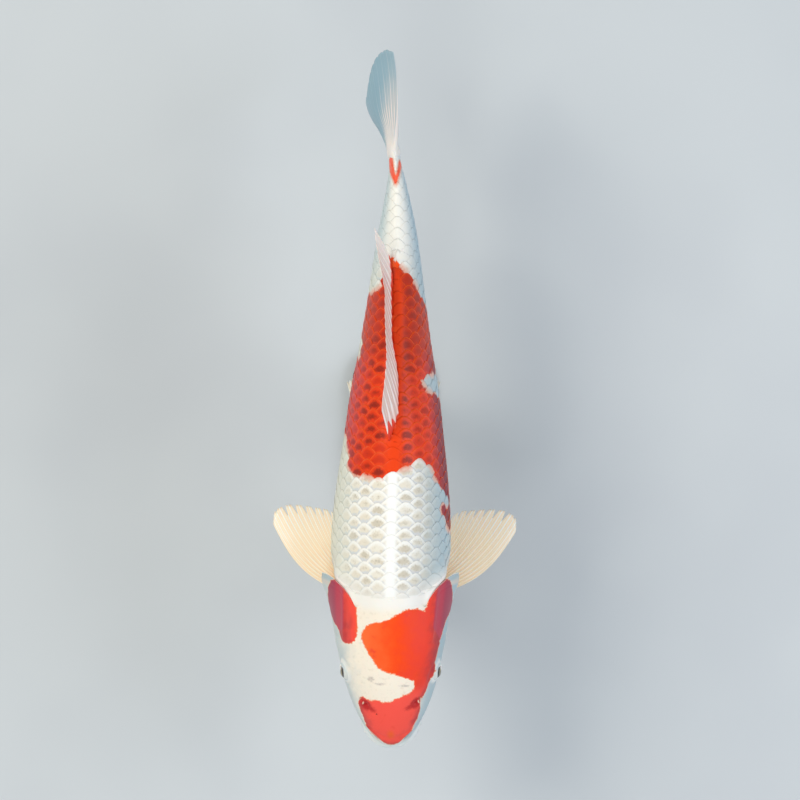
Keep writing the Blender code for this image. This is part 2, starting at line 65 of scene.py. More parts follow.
# ------------------------------------------------------------------ shape of the flesh (mm)
# distance behind the snout -> half width of the flesh; heights of the back, the belly and the widest
# line over the body axis; fullness of the section above and below that line; place of the spine
HALF_WIDTH = [(0, 0), (6.5, 16.2), (12.5, 20.8), (24, 26.4), (41, 34.2), (65, 41.4),
              (80, 44.0), (95, 45.0), (125, 45.8), (140, 47.0), (152, 50.4), (174, 52.5),
              (204, 51.2), (230, 48.6), (273, 43.1), (308, 38.7), (342, 32.4), (377, 27.1),
              (411, 22.2), (446, 16.6), (471, 11.6), (487, 8.3), (502, 5.8), (513, 5.4)]
BACK = [(0, -8), (6.5, 4.5), (12.5, 10.5), (24, 19.5), (41, 30), (65, 41.5), (91, 51),
        (120, 59), (150, 65.5), (190, 71), (230, 74), (262, 75), (300, 72.5), (340, 66),
        (380, 56.5), (420, 44.5), (450, 36), (475, 30.5), (490, 28.5), (513, 28)]
BELLY = [(0, -8), (6.5, -18), (12.5, -22.5), (24, -28.5), (41, -34.5), (65, -41.5),
         (91, -47.5), (120, -53), (160, -58.5), (200, -62), (250, -63), (300, -60.5),
         (350, -52.5), (400, -41), (440, -32.5), (475, -28), (490, -27), (513, -27.5)]
WIDEST = [(0, -8), (24, -5), (65, -3), (110, -7), (150, -8), (260, -2), (400, 0), (513, 0)]
FULLNESS_TOP = [(0, 2.1), (65, 2.15), (120, 2.0), (260, 1.95), (513, 2.0)]
FULLNESS_LOW = [(0, 2.0), (65, 2.15), (150, 2.3), (260, 2.35), (400, 2.1), (513, 2.0)]
SPINE_X = [(0, -0.3), (40, -0.9), (140, -1.4), (180, -0.8), (273, 1.7), (342, 3.0), (411, 4.3),
           (455, 4.7), (487, 4.0), (505, 2.4), (513, 1.4), (600, -1.5)]
# how far the gill covers stand off the flesh, and the turns at their upper and lower edges
COVER_STAND = [(82, 1.5), (100, 3.6), (119, 6.4), (134, 9.6), (142, 11.6), (150, 9.0)]
COVER_TOP, COVER_LOW = math.radians(50), math.radians(-72)
# rearmost place, its share of the way down, stand-off at the edges and thickness at the rear
COVER_REAR, COVER_APEX, COVER_FLUSH, COVER_WALL = 150.0, 0.42, 1.5, 1.4
COVER_RISE, COVER_TUCK = 29.0, 46.0        # how far the rear edge runs forward above and below its apex
SHOULDER_DRAW = 4.4                        # how far the shoulder lies in beside the gill covers
FLESH_END = 513.0
EYE_AT, EYE_UP, EYE_RADIUS = 66.0, 13.5, 8.8       # behind the snout, over the body axis
EYE_OPEN, LID_HEIGHT = 4.7, 2.6            # radius of the opening between the lids, height of the lids
MOUTH_LEVEL, MOUTH_CORNER = -8.6, 21.0     # over the body axis, behind the snout

EYE_BOX = {hand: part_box("eye_" + hand) for hand in SIDES}
SNOUT_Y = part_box("head")[0][1] / MM
AXIS_Z = (EYE_BOX["left"][0][2] + EYE_BOX["left"][1][2]) / 2 / MM - EYE_UP


def profile(knots):
    """Monotone cubic through knots, run over the root of distance for a blunt snout."""
    at, val = np.array(knots, float).T
    at = np.sqrt(at)
    step, rise = np.diff(at), np.diff(val) / np.diff(at)
    slope = np.zeros(len(at))
    slope[0], slope[-1] = rise[0], rise[-1]
    for i in range(1, len(at) - 1):
        if rise[i - 1] * rise[i] > 0:
            slope[i] = 2 * rise[i - 1] * rise[i] / (rise[i - 1] + rise[i])

    def value(where):
        x = np.sqrt(np.clip(np.asarray(where, float), knots[0][0], knots[-1][0]))
        i = np.clip(np.searchsorted(at, x) - 1, 0, len(step) - 1)
        t = (x - at[i]) / step[i]
        return (val[i] * (1 + 2 * t) * (1 - t) ** 2 + slope[i] * step[i] * t * (1 - t) ** 2
                + val[i + 1] * t * t * (3 - 2 * t) - slope[i + 1] * step[i] * t * t * (1 - t))
    return value


half_width, back, belly = profile(HALF_WIDTH), profile(BACK), profile(BELLY)
widest, full_top, full_low = profile(WIDEST), profile(FULLNESS_TOP), profile(FULLNESS_LOW)
spine_x, cover_stand = profile(SPINE_X), profile(COVER_STAND)


def smooth(low, high, value):
    """0 below low, 1 above high and an easy curve between."""
    t = np.clip((np.asarray(value, float) - low) / (high - low), 0, 1)
    return t * t * (3 - 2 * t)


def bell(distance, width):
    """A rounded bump of height 1."""
    return np.exp(-(np.asarray(distance, float) / width) ** 2)


def at_knots(knots, where):
    """Straight-line reading between knots."""
    return np.interp(where, *zip(*knots))


def unit(vectors):
    """Vectors brought to length 1."""
    return vectors / np.maximum(np.linalg.norm(vectors, axis=-1, keepdims=True), 1e-9)


def rise_of(turn):
    """Turn above the widest line, the same on both sides."""
    return np.arcsin(np.clip(np.sin(turn), -1, 1))


def on_side(side, turn):
    """A turn on the left side, mirrored where side is negative."""
    return np.where(np.asarray(side) < 0, math.pi - turn, turn)


def section(s, turn):
    """Cosine and sine of a turn, and the power that makes the section fuller than an ellipse."""
    c, u = np.cos(turn), np.sin(turn)
    return c, u, 2.0 / np.where(u >= 0, full_top(s), full_low(s))


def outward(s, turn):
    """Direction in the cross-section in which the gill covers stand off the flesh."""
    c, u, power = section(s, turn)
    x = np.sign(c) * np.maximum(np.abs(c) ** power, 0.25)
    return unit(np.stack([x, np.zeros_like(x), 0.55 * u], -1))


def flesh(s, turn, stand=0.0):
    """Point (mm, body axis) s behind the snout, turned up from the left side, stood off the flesh."""
    s, turn = np.broadcast_arrays(np.asarray(s, float), np.asarray(turn, float))
    c, u, power = section(s, turn)
    reach = np.where(u >= 0, back(s) - widest(s), widest(s) - belly(s))
    x = spine_x(s) + np.sign(c) * np.abs(c) ** power * half_width(s)
    z = widest(s) + np.sign(u) * np.abs(u) ** power * reach
    return np.stack([x, s + SNOUT_Y, z], -1) + outward(s, turn) * np.asarray(stand)[..., None]


def way_down(turn):
    """Share of the way down a gill cover, 0 at its top edge."""
    return (COVER_TOP - rise_of(turn)) / (COVER_TOP - COVER_LOW)


def cover_rear(turn):
    """Rear edge of the gill cover, behind the snout."""
    down = np.clip(way_down(turn), 0, 1)
    above = COVER_REAR - COVER_RISE * np.abs(1 - down / COVER_APEX) ** 4.0
    below = COVER_REAR - COVER_TUCK * (np.clip(down - COVER_APEX, 0, 1) / (1 - COVER_APEX)) ** 1.3
    return np.where(down < COVER_APEX, above, below)


def cover_height(s, turn):
    """How far the outside of the gill cover stands off the flesh, easing to nothing all round."""
    down = way_down(turn)
    edge = np.clip(np.minimum(2.4 * down + 0.05, 4 * (1 - down) + 0.12), 0, 1)
    full = COVER_FLUSH + (cover_stand(s) - COVER_FLUSH) * np.sin(edge * math.pi / 2)
    return full * smooth(66, 92, s) * smooth(-0.10, 0.04, down) * smooth(1.14, 0.98, down)


def slit_open(turn):
    """How freely the gill cover's rear edge stands: not at the nape, fully at the side."""
    return smooth(0.12, 0.36, way_down(turn))


def cover_wall(turn):
    """Thickness of the gill cover's rear edge."""
    return COVER_WALL * (0.4 + 0.6 * slit_open(turn))


def shoulder_height(s, turn):
    """How far the shoulder swells to meet the nape's end of the gill cover, and lies in beside its flap."""
    rear = cover_rear(turn)
    open_ = slit_open(turn)
    room = np.maximum(cover_height(rear, turn) - cover_wall(turn) - 0.2 - 0.5 * open_, 0)
    swell = room * (1 - 0.88 * open_) * smooth(-9, -2, s - rear) * smooth(22 - 9 * open_, 0, s - rear)
    beside_flap = open_ * smooth(0.70, 0.52, way_down(turn)) * smooth(-10, -4, s - rear)
    return swell - SHOULDER_DRAW * beside_flap * smooth(163, 143, s)


# ------------------------------------------------------------------ unrolled surface
GIRTH_STEPS = 240          # steps round one side, so that the widest line is at half of them


class Girth:
    """Arc lengths round one side of the body, from the back's ridge to the belly's middle."""

    def __init__(self, covered):
        """Measure the body with its gill covers, or bare."""
        self.rows = np.arange(0.0, FLESH_END + 1, 1.0)
        turns = np.radians(np.linspace(90, -90, GIRTH_STEPS + 1))
        s, turn = np.meshgrid(self.rows, turns, indexing="ij")
        points = flesh(s, turn, cover_height(s, turn) if covered else 0.0)
        step = np.linalg.norm(np.diff(points, axis=1), axis=2)
        self.arc = np.concatenate([np.zeros((len(self.rows), 1)), np.cumsum(step, axis=1)], axis=1)
        self.half = np.maximum(self.arc[:, -1], 1e-6)
        self.across = points[..., 0] - spine_x(self.rows)[:, None]
        shares = np.linspace(0, 1, GIRTH_STEPS + 1)
        self.turn_of = np.array([np.interp(shares, a / h, turns) for a, h in zip(self.arc, self.half)])

    def look(self, grid, s, share):
        """Bilinear reading of a grid by distance behind the snout and column share."""
        r = np.clip(np.asarray(s, float), 0, len(self.rows) - 1.001)
        c = np.clip(np.asarray(share, float), 0, 1) * (grid.shape[1] - 1.001)
        i, j = r.astype(int), c.astype(int)
        a, b = r - i, c - j
        return ((grid[i, j] * (1 - b) + grid[i, j + 1] * b) * (1 - a)
                + (grid[i + 1, j] * (1 - b) + grid[i + 1, j + 1] * b) * a)

    def half_at(self, s):
        """Arc length from the ridge to the belly's middle."""
        return np.interp(s, self.rows, self.half)

    def arc_at(self, s, turn):
        """Arc length from the ridge, for a turn on either side."""
        return self.look(self.arc, s, (math.pi / 2 - rise_of(turn)) / math.pi)

    def turn_at(self, s, arc):
        """Left-side turn at an arc length from the ridge."""
        return self.look(self.turn_of, s, arc / self.half_at(s))

    def arc_of_across(self, s, across):
        """Arc length of the point seen from above at a distance from the spine, on the upper side."""
        row = int(round(float(np.clip(s, 0, FLESH_END))))
        top, arc = (grid[row, :GIRTH_STEPS // 2 + 1] for grid in (self.across, self.arc))
        reach = np.max(top)
        if abs(across) >= reach:
            return arc[np.argmax(top)] + (abs(across) - reach)
        return np.interp(abs(across), top, arc)


outer_girth, inner_girth = Girth(True), Girth(False)

# ------------------------------------------------------------------ red markings
# closed outlines seen from above: (behind the snout, sideways from the middle line, + = left);
# a sideways value past the body's edge runs on down the flank by the excess
NOSE_CAP = [(44, -25), (41.5, -28.3), (36, -28.3), (28, -25), (17, -21), (7.5, -12), (2.8, -4),
            (2.4, 1), (5.5, 7), (12.5, 14.7), (23.5, 21), (33, 24), (39, 24.5), (45.5, 27.2),
            (53, 30.4), (61, 33.2), (70, 36), (76, 34), (70, 24), (58.5, 19.4), (53, 19.4),
            (48.4, 16.3), (44.5, 8.4), (39.5, -4), (41, -12), (41.4, -19.7)]
CROWN = [(58.6, 19.4), (63.3, 5.3), (67.2, -8), (76.6, -16.6), (89, -23.6), (97, -25.7), (103.3, -23.6),
         (107.9, -18), (109.5, -7.2), (115, 3.8), (119.6, 13.2), (120, 22.5), (118, 28), (126, 31),
         (136, 34.5), (141.5, 38), (146, 45), (144, 49.5), (138, 51.5), (131, 52), (124, 51.8),
         (117, 50), (109.5, 46.5), (100, 43.4), (92, 41.3), (80, 38.2), (70, 36), (61, 34)]
CHEEK = [(145.5, -49.5), (145, -43), (141, -38), (131, -34.5), (122, -31), (113, -30.2),
         (106, -29.6), (97, -30.6), (91.5, -33.6), (90.5, -38.5), (93.8, -43.5), (101.7, -46),
         (109.5, -50.5), (121, -54), (133, -55), (141, -53.6)]
SADDLE = [(422.5, -2.4), (416, 6), (409, 13), (400, 19), (391, 24.5), (382, 28), (374, 33), (366, 44),
          (352, 50), (338, 50), (326, 44), (321, 34), (317, 25.5), (314, 25.5), (309, 29),
          (305, 34.5), (301, 41), (290, 54), (268, 66), (244, 72), (224, 66), (209, 56), (213, 50),
          (222, 46), (233, 38), (240, 34), (245, 29), (248, 23.5), (245.7, 19), (241, 16), (240, 11),
          (238.6, 5.5), (238, 0), (236, -3.3), (231.3, -8), (232.6, -16.6), (236, -30), (241, -36),
          (246, -37.8), (252, -35.8), (257, -38.5), (265, -40), (272, -42.5), (281, -51), (292, -58),
          (306, -59), (322, -50), (333, -35), (336, -29), (339.5, -26.5), (344, -27), (350, -25),
          (354, -27), (362, -36), (376, -38), (387, -27), (389, -20), (393, -16), (398, -10),
          (405, -8), (414, -6)]
COMMA = [(207.5, 44), (208, 50), (203, 57), (194, 60.5), (185, 59.5), (183, 53.5), (189, 49), (197, 46),
         (201, 44.5)]
TAIL_MARK = [(483.5, 3.2), (489, 0), (496, -2.2), (506, -2.8), (506.5, 0), (499, 0.9), (492, 3.4),
             (499, 5.6), (504, 6.6), (502, 8.4), (494, 7.4)]
HEAD_MARKS, BODY_MARKS = (NOSE_CAP, CROWN, CHEEK), (SADDLE, COMMA, TAIL_MARK)
MARK_EDGE, NO_MARK = 12, -50.0             # how far out a marking is measured, and the value beyond


def round_outline(points, steps=6):
    """Closed Catmull-Rom curve through points."""
    b = np.array(points, float)[:, None]
    a, c, d = (np.roll(b, k, axis=0) for k in (1, -1, -2))
    t = np.linspace(0, 1, steps, endpoint=False)[None, :, None]
    curve = 2 * b + (c - a) * t + (2 * a - 5 * b + 4 * c - d) * t * t + (3 * b - a - 3 * c + d) * t ** 3
    return 0.5 * curve.reshape(-1, 2)


def unroll(outline, girth):
    """Marking outline as (behind the snout, signed arc length from the ridge)."""
    flat = []
    for s, x in round_outline(outline):
        across = x - spine_x(s)
        flat.append((s, math.copysign(girth.arc_of_across(s, across), across)))
    return np.array(flat)


def inside_distance(points, outline):
    """Signed distance (mm) of flat points into a closed outline: positive inside."""
    best = np.full(len(points), 1e9)
    inside = np.zeros(len(points), bool)
    x, y = points[:, 0], points[:, 1]
    for a, b in zip(outline, np.roll(outline, -1, axis=0)):
        d = b - a
        t = np.clip(((x - a[0]) * d[0] + (y - a[1]) * d[1]) / max(d @ d, 1e-9), 0, 1)
        best = np.minimum(best, (x - a[0] - t * d[0]) ** 2 + (y - a[1] - t * d[1]) ** 2)
        if a[1] != b[1]:
            crosses = (a[1] > y) != (b[1] > y)
            inside ^= crosses & (x < (b[0] - a[0]) * (y - a[1]) / (b[1] - a[1]) + a[0])
    return np.where(inside, 1, -1) * np.sqrt(best)


def redness(s, arc, girth, outlines):
    """Largest signed distance into any of the outlines, at flat points with signed arc."""
    points = np.stack([np.ravel(s), np.ravel(arc)], -1)
    depth = np.full(len(points), NO_MARK)
    for outline in outlines:
        flat = unroll(outline, girth)
        near = np.all((points > flat.min(0) - MARK_EDGE) & (points < flat.max(0) + MARK_EDGE), axis=1)
        depth[near] = np.maximum(depth[near], inside_distance(points[near], flat))
    return depth.reshape(np.shape(s))


# ------------------------------------------------------------------ meshes
def to_world(points):
    """Body millimetres to metres in the frame."""
    flat = np.asarray(points, float).reshape(-1, 3).copy()
    flat[:, 2] += AXIS_Z
    return flat * MM


def read_all(items, key, width=1, kind=np.int32):
    """One value of every item of a mesh as an array."""
    values = np.zeros(len(items) * width, kind)
    items.foreach_get(key, values)
    return values.reshape(-1, width) if width > 1 else values


def turn_outward(mesh):
    """Turn the faces of closed shells outward, if their signed volume says that they face in."""
    mesh.calc_loop_triangles()
    corners = read_all(mesh.loop_triangles, "vertices", 3)
    a, b, c = np.moveaxis(read_all(mesh.vertices, "co", 3, float)[corners], 1, 0)
    if np.sum(a * np.cross(b, c)) < 0:
        mesh.flip_normals()


def make_mesh(name, points, faces, material, values):
    """Mesh object from body millimetres, with named per-point values for its material."""
    mesh = bpy.data.meshes.new(name)
    mesh.from_pydata(to_world(points).tolist(), [], faces)
    turn_outward(mesh)
    for key, data in values.items():
        layer = mesh.attributes.new(key, "FLOAT", "POINT")
        layer.data.foreach_set("value", np.ascontiguousarray(np.ravel(data), dtype=np.float32))
    mesh.shade_smooth()
    mesh.materials.append(material)
    obj = bpy.data.objects.new(name, mesh)
    bpy.context.scene.collection.objects.link(obj)
    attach(obj, "root")
    return obj


def grid_faces(rows, cols, closed=False, start=0, flip=False):
    """Quads of a grid of points, optionally closed round its columns."""
    r, c = np.meshgrid(np.arange(rows - 1), np.arange(cols if closed else cols - 1), indexing="ij")
    a, b = r * cols + c, r * cols + (c + 1) % cols
    quads = np.stack([a, b, b + cols, a + cols], -1).reshape(-1, 4) + start
    return (quads[:, ::-1] if flip else quads).tolist()


def closed_sheet_faces(rows, cols):
    """Faces of two equal grids, upper then lower, joined round their rim."""
    half = rows * cols
    faces = grid_faces(rows, cols, flip=True) + grid_faces(rows, cols, start=half)
    rim = [(0, c) for c in range(cols)] + [(r, cols - 1) for r in range(1, rows)]
    rim += [(rows - 1, c) for c in range(cols - 2, -1, -1)] + [(r, 0) for r in range(rows - 2, 0, -1)]
    for (row, col), (next_row, next_col) in zip(rim, rim[1:] + rim[:1]):
        a, b = row * cols + col, next_row * cols + next_col
        faces.append([a, b, half + b, half + a])
    return faces


def capped_tube(grid, start, end):
    """Points and faces of a grid of points closed round its columns, with one more point at each end."""
    rows, cols = grid.shape[:2]
    points = np.vstack([grid.reshape(-1, 3), start, end])
    pole, rim = rows * cols, (rows - 1) * cols
    faces = grid_faces(rows, cols, closed=True)
    faces += [[pole, (c + 1) % cols, c] for c in range(cols)]
    faces += [[pole + 1, rim + c, rim + (c + 1) % cols] for c in range(cols)]
    return points, faces


def rings(line, axis, beside, radius, around):
    """Circles of points about an axis at each place on a line, from the side square to beside."""
    first = unit(np.cross(axis, beside))
    second = np.cross(axis, first)
    swing = np.linspace(0, 2 * math.pi, around, endpoint=False)[:, None]
    circle = np.cos(swing) * first[..., None, :] + np.sin(swing) * second[..., None, :]
    return line[:, None] + circle * radius[:, None, None]


def keep_uv(obj, uv_of_corners):
    """Give the piece its unrolled layout, one place for each corner of its faces."""
    layer = obj.data.uv_layers.new(name="OFBake")
    layer.data.foreach_set("uv", np.asarray(uv_of_corners, np.float32).ravel())


# ------------------------------------------------------------------ colours and nodes
def linear(code):
    """sRGB hex code to a linear RGBA colour."""
    parts = [int(code[i:i + 2], 16) / 255 for i in (1, 3, 5)]
    return tuple(c / 12.92 if c <= 0.04045 else ((c + 0.055) / 1.055) ** 2.4 for c in parts) + (1.0,)


def add_node(tree, kind, links=None, **settings):
    """Add a node, set its properties and fill its inputs with values or other nodes' outputs."""
    made = tree.nodes.new(kind)
    for key, value in settings.items():
        setattr(made, key, value)
    for key, value in (links or {}).items():
        if isinstance(value, bpy.types.NodeSocket):
            tree.links.new(value, made.inputs[key])
        else:
            made.inputs[key].default_value = value
    return made


def new_material(name):
    """Empty material with its shader; returns material, node tree and shader."""
    material = bpy.data.materials.new(name)
    material.use_nodes = True
    tree = material.node_tree
    return material, tree, tree.nodes["Principled BSDF"]


def carried(tree, *names):
    """Outputs that read the values carried by the mesh, by name."""
    return {name: add_node(tree, "ShaderNodeAttribute", attribute_name=name).outputs["Fac"]
            for name in names}


def layered(tree, ground, layers):
    """Lay colours over a ground: each layer is (value, none at, full at, colour)."""
    under = linear(ground) if isinstance(ground, str) else ground
    for value, none_at, full_at, colour in layers:
        amount = add_node(tree, "ShaderNodeMapRange", {0: value, 1: none_at, 2: full_at},
                          interpolation_type="SMOOTHSTEP").outputs[0]
        coat = linear(colour) if isinstance(colour, str) else colour
        under = add_node(tree, "ShaderNodeMix", {0: amount, 6: under, 7: coat}, data_type="RGBA").outputs[2]
    return under


def grain(tree, size_mm, detail=3.0, stretch=(1.0, 1.0, 1.0), rough=0.5):
    """Cloudy pattern whose clumps are size_mm across, about 0.5 on average."""
    where = add_node(tree, "ShaderNodeTexCoord").outputs["Object"]
    placed = add_node(tree, "ShaderNodeMapping", {"Vector": where, "Scale": stretch}).outputs[0]
    return add_node(tree, "ShaderNodeTexNoise", {"Vector": placed, "Scale": 1000 / (2 * size_mm),
                                                 "Detail": detail, "Roughness": rough}).outputs["Fac"]


def shifted(tree, value, pattern, amount):
    """A value pushed up and down by a pattern that averages 0.5."""
    swing = add_node(tree, "ShaderNodeMath", {0: pattern, 1: amount, 2: -amount / 2},
                     operation="MULTIPLY_ADD").outputs[0]
    return add_node(tree, "ShaderNodeMath", {0: value, 1: swing}, operation="ADD").outputs[0]


def bumped(tree, shader, pattern, depth_mm):
    """Surface relief of a given depth from a pattern."""
    bump = add_node(tree, "ShaderNodeBump", {"Height": pattern, "Distance": depth_mm * MM, "Strength": 1.0})
    tree.links.new(bump.outputs[0], shader.inputs["Normal"])


def finished(tree, shader, colour, sockets):
    """Link the colour and give the shader's own sockets their constant values."""
    tree.links.new(colour, shader.inputs["Base Color"])
    for name, value in sockets.items():
        shader.inputs[name].default_value = value


# ------------------------------------------------------------------ surface helpers
def past_belly(s, arc, girth):
    """Signed arc lengths from the ridge; what runs past the belly's middle goes on up the other side."""
    half = girth.half_at(s)
    return np.where(np.abs(arc) > half, -np.sign(arc) * (2 * half - np.abs(arc)), arc)


def flesh_normal(s, turn):
    """Outward unit normal of the bare flesh."""
    ds, dt = 0.5, 0.02
    along = flesh(s + ds, turn) - flesh(s - ds, turn)
    return unit(np.cross(along, flesh(s, turn + dt) - flesh(s, turn - dt)))


def upper_spot(s, x):
    """Point on the upper side of the head, seen from above at a place off the middle line."""
    across = x - spine_x(s)
    return flesh(s, on_side(across, outer_girth.turn_at(s, outer_girth.arc_of_across(s, across))))


# degrees above the widest line -> front of the scale coat, behind the snout
COAT_FRONT = [(-90, 108), (-72, 108), (-60, 118), (-40, 132), (-20, 143), (0, 148), (20, 146),
              (35, 137), (45, 129), (60, 122.5), (90, 120.5)]


def coat_front(turn):
    """Where the scale coat starts, behind the snout."""
    return at_knots(COAT_FRONT, np.degrees(rise_of(turn)))


# ------------------------------------------------------------------ skin
COLUMNS = 328
NOSE_ROWS, HEAD_ROWS, COVER_ROWS, EDGE_ROWS, LINING_ROWS, TRUNK_ROWS = 36, 70, 62, 5, 11, 96
NOSE_END, HEAD_END = 24.0, 84.0            # the rows spread out over the nose and run even over the head
ROW_STEP = 0.15                            # least step between the rows that turn into the gill slit
SLIT_REACH = 11.0                          # how far the gill slit runs forward under its cover
OUTSIDE, EDGE, LINING, TRUNK = range(4)    # what a row of the skin belongs to
COAT_DEPTH = 1.25


def coat_depth(s):
    """How far the skin lies inside the flesh to leave room for the scales, less towards the tail."""
    return COAT_DEPTH * (1 - 0.5 * smooth(370, 440, s))


def skin_turns():
    """Turns of the skin's columns, closer together level with the eyes and the mouth."""
    rise = np.radians(np.linspace(-90, 90, 721))
    sized = np.linalg.norm(np.gradient(flesh(EYE_AT, rise), axis=0), axis=-1)
    finer = 1 + 1.1 * bell(rise - math.radians(21), math.radians(15)) + 1.6 * bell(rise, math.radians(5))
    run = np.concatenate([[0], np.cumsum((sized * finer)[1:])])
    left = np.interp(np.linspace(0, run[-1], COLUMNS // 2 + 1), run, rise)
    return np.concatenate([left, math.pi - left[-2:0:-1]])


def edge_free(turn):
    """How far the gill cover's rear edge stands clear of the flesh, 0 to 1."""
    return smooth(0.6, 3.2, cover_height(cover_rear(turn), turn))


def skin_places():
    """Turns of the skin's columns, and the place, the stand-off and the zone of each row."""
    turn = skin_turns()
    rear = cover_rear(turn)
    lift = cover_height(rear, turn)
    free = edge_free(turn)
    wall = np.minimum(cover_wall(turn), lift * 0.6)
    rows = [np.full_like(turn, NOSE_END * (k / NOSE_ROWS) ** 2) for k in range(1, NOSE_ROWS + 1)]
    rows += [np.full_like(turn, NOSE_END + (HEAD_END - NOSE_END) * k / HEAD_ROWS)
             for k in range(1, HEAD_ROWS + 1)]
    rows += [HEAD_END + (rear - HEAD_END) * k / COVER_ROWS for k in range(1, COVER_ROWS + 1)]
    stands = [cover_height(row, turn) for row in rows]
    for k in range(1, EDGE_ROWS + 1):
        a = math.pi * k / EDGE_ROWS
        rows.append(rear + (ROW_STEP * k + 0.35 * math.sin(a) * wall * free))
        flush = lift * k / (EDGE_ROWS + LINING_ROWS)
        stands.append(lift - wall * (1 - math.cos(a)) / 2 * free - flush * (1 - free))
    last_row, last_stand = rows[-1], stands[-1]
    for k in range(1, LINING_ROWS + 1):
        t = k / LINING_ROWS
        back_under = (SLIT_REACH * free + ROW_STEP * k) * math.sin(t * math.pi / 2) * free
        rows.append(last_row + ROW_STEP * k - back_under)
        stands.append(last_stand * (1 - t) ** 0.7)
    start = rows[-1]
    for k in range(1, TRUNK_ROWS + 1):
        t = k / TRUNK_ROWS
        rows.append(start + (FLESH_END - start) * (0.55 * t * t + 0.45 * t))
        stands.append(shoulder_height(rows[-1], turn))
    counts = (NOSE_ROWS + HEAD_ROWS + COVER_ROWS, EDGE_ROWS, LINING_ROWS, TRUNK_ROWS)
    zone = np.repeat((OUTSIDE, EDGE, LINING, TRUNK), counts)[:, None]
    return turn, np.array(rows), np.array(stands), zone


# height above the mouth at the top of the arch, depth and width of each fold
UPPER_LIP_FOLDS = ((13.2, 1.3, 0.9), (10.2, 0.8, 0.7), (7.4, 0.5, 0.6), (16.8, 0.6, 0.8))
# height and depth of each fold under the lower jaw
LOWER_JAW_FOLDS = ((-8.5, 0.7), (-13.5, 0.45))
# rear and front opening of each nostril: (behind the snout, sideways from the middle line)
NOSTRILS = {"left": ((42.0, 25.0), (38.5, 20.5)), "right": ((41.0, -27.0), (37.0, -22.5))}
# grey-brown smudges before the eyes: behind the snout, sideways, length and width
SMUDGES = ((60, -18, 3.2, 4.0), (55.5, -10, 1.6, 5.5), (54, 11, 1.4, 7.0))
FAR_OUT, FAR_BACK = 9.0, 60.0              # carried where no crease and no hem is near


def lip_arch(s, ahead=4):
    """Share of their full height at which the lip's folds run, arching back to the mouth's corner."""
    return np.sin(np.clip((s + ahead) / 36, 0, 1) * math.pi)


def lip_folds(s, z, wider=1.0):
    """Depth of the upper lip's folds, wider for painting them than for carving them."""
    depth = np.zeros_like(s)
    for height, deep, wide in UPPER_LIP_FOLDS:
        depth += deep * bell(z - MOUTH_LEVEL - height * lip_arch(s), wide * wider)
    return depth * smooth(33, 25, s)


def head_relief(s, z):
    """Height (mm) of the head's folds, lips and lids above the plain form."""
    # eyes: the lids stand up round the eyeball under a soft brow, inside a shallow groove
    from_rim = np.hypot(s - EYE_AT, z - EYE_UP) - EYE_OPEN
    rise = LID_HEIGHT * bell(np.maximum(from_rim - 0.6, 0), 3.4) - 0.5 * bell(from_rim - 7.0, 1.6)
    rise += 0.9 * bell(s - EYE_AT - 1, 12) * bell(z - EYE_UP - 12.5, 5)
    rise -= 8.0 * smooth(0.35, -0.7, from_rim) + 0.5 * bell(from_rim - 2.6, 0.7)
    # mouth: a slit between rounded lips, deeper at its corners
    in_front = smooth(MOUTH_CORNER + 2.5, MOUTH_CORNER - 1.5, s)
    level = MOUTH_LEVEL - 0.06 * s
    rise += smooth(32, 12, s) * (1.3 * bell(z - level - 3.1, 2.6) + 1.1 * bell(z - level + 2.8, 2.3))
    rise -= in_front * 3.2 * bell(z - level, 0.75)
    arch = lip_arch(s)
    rise -= lip_folds(s, z)
    rise += 0.7 * smooth(33, 25, s) * bell(z - MOUTH_LEVEL - 15.0 * arch, 1.6)
    for height, depth in LOWER_JAW_FOLDS:
        rise -= depth * smooth(34, 22, s) * bell(z - MOUTH_LEVEL - height * arch, 0.9)
    # cheek: a crease behind the mouth's corner, the edge of the front cheek plate, a line under the eye
    behind_mouth = 24 + 0.16 * (z + 6) ** 2 / 3
    rise -= 0.8 * bell(s - behind_mouth, 1.1) * bell(z + 9, 7)
    plate = 89 + 9 * bell(z - 2, 18)
    rise -= 0.75 * bell(s - plate, 1.2) * smooth(30, 18, z) * smooth(-44, -34, z)
    under_eye = 16 + 0.0035 * (s - 62) ** 2
    rise -= 0.4 * bell(EYE_UP - under_eye - z, 1.0) * smooth(44, 52, s) * smooth(96, 86, s)
    return rise


def gill_crease(s, side):
    """Distance from the middle line, seen from above, of the fold along a gill cover's upper edge."""
    left = 33.5 + (np.clip(s, 84, 145) - 91) * 0.112
    right = 41.5 - 0.10 * np.clip(100 - s, 0, 20)
    return np.where(side > 0, left, right)


def nostril_relief(point, hand):
    """Depth of a nostril's two pits and of the hollow round them, and height of the flap between them."""
    rear_pit, front_pit = (upper_spot(*spot) for spot in NOSTRILS[hand])
    line = unit(rear_pit - front_pit)
    to_middle = point - (rear_pit + front_pit) / 2
    along = to_middle @ line
    off = np.linalg.norm(to_middle - along[..., None] * line, axis=-1)
    pit = (2.2 * bell(np.linalg.norm(point - rear_pit, axis=-1), 2.0)
           + 1.3 * bell(np.linalg.norm(point - front_pit, axis=-1), 1.6))
    hollow = np.maximum(1.4 * bell(along + 2.5, 5.4) * bell(off, 4.8),
                        0.7 * bell(along + 9.0, 7.5) * bell(off, 3.4))
    return {"pit": pit, "hollow": hollow, "flap": 1.9 * bell(along, 1.0) * bell(off, 2.6)}


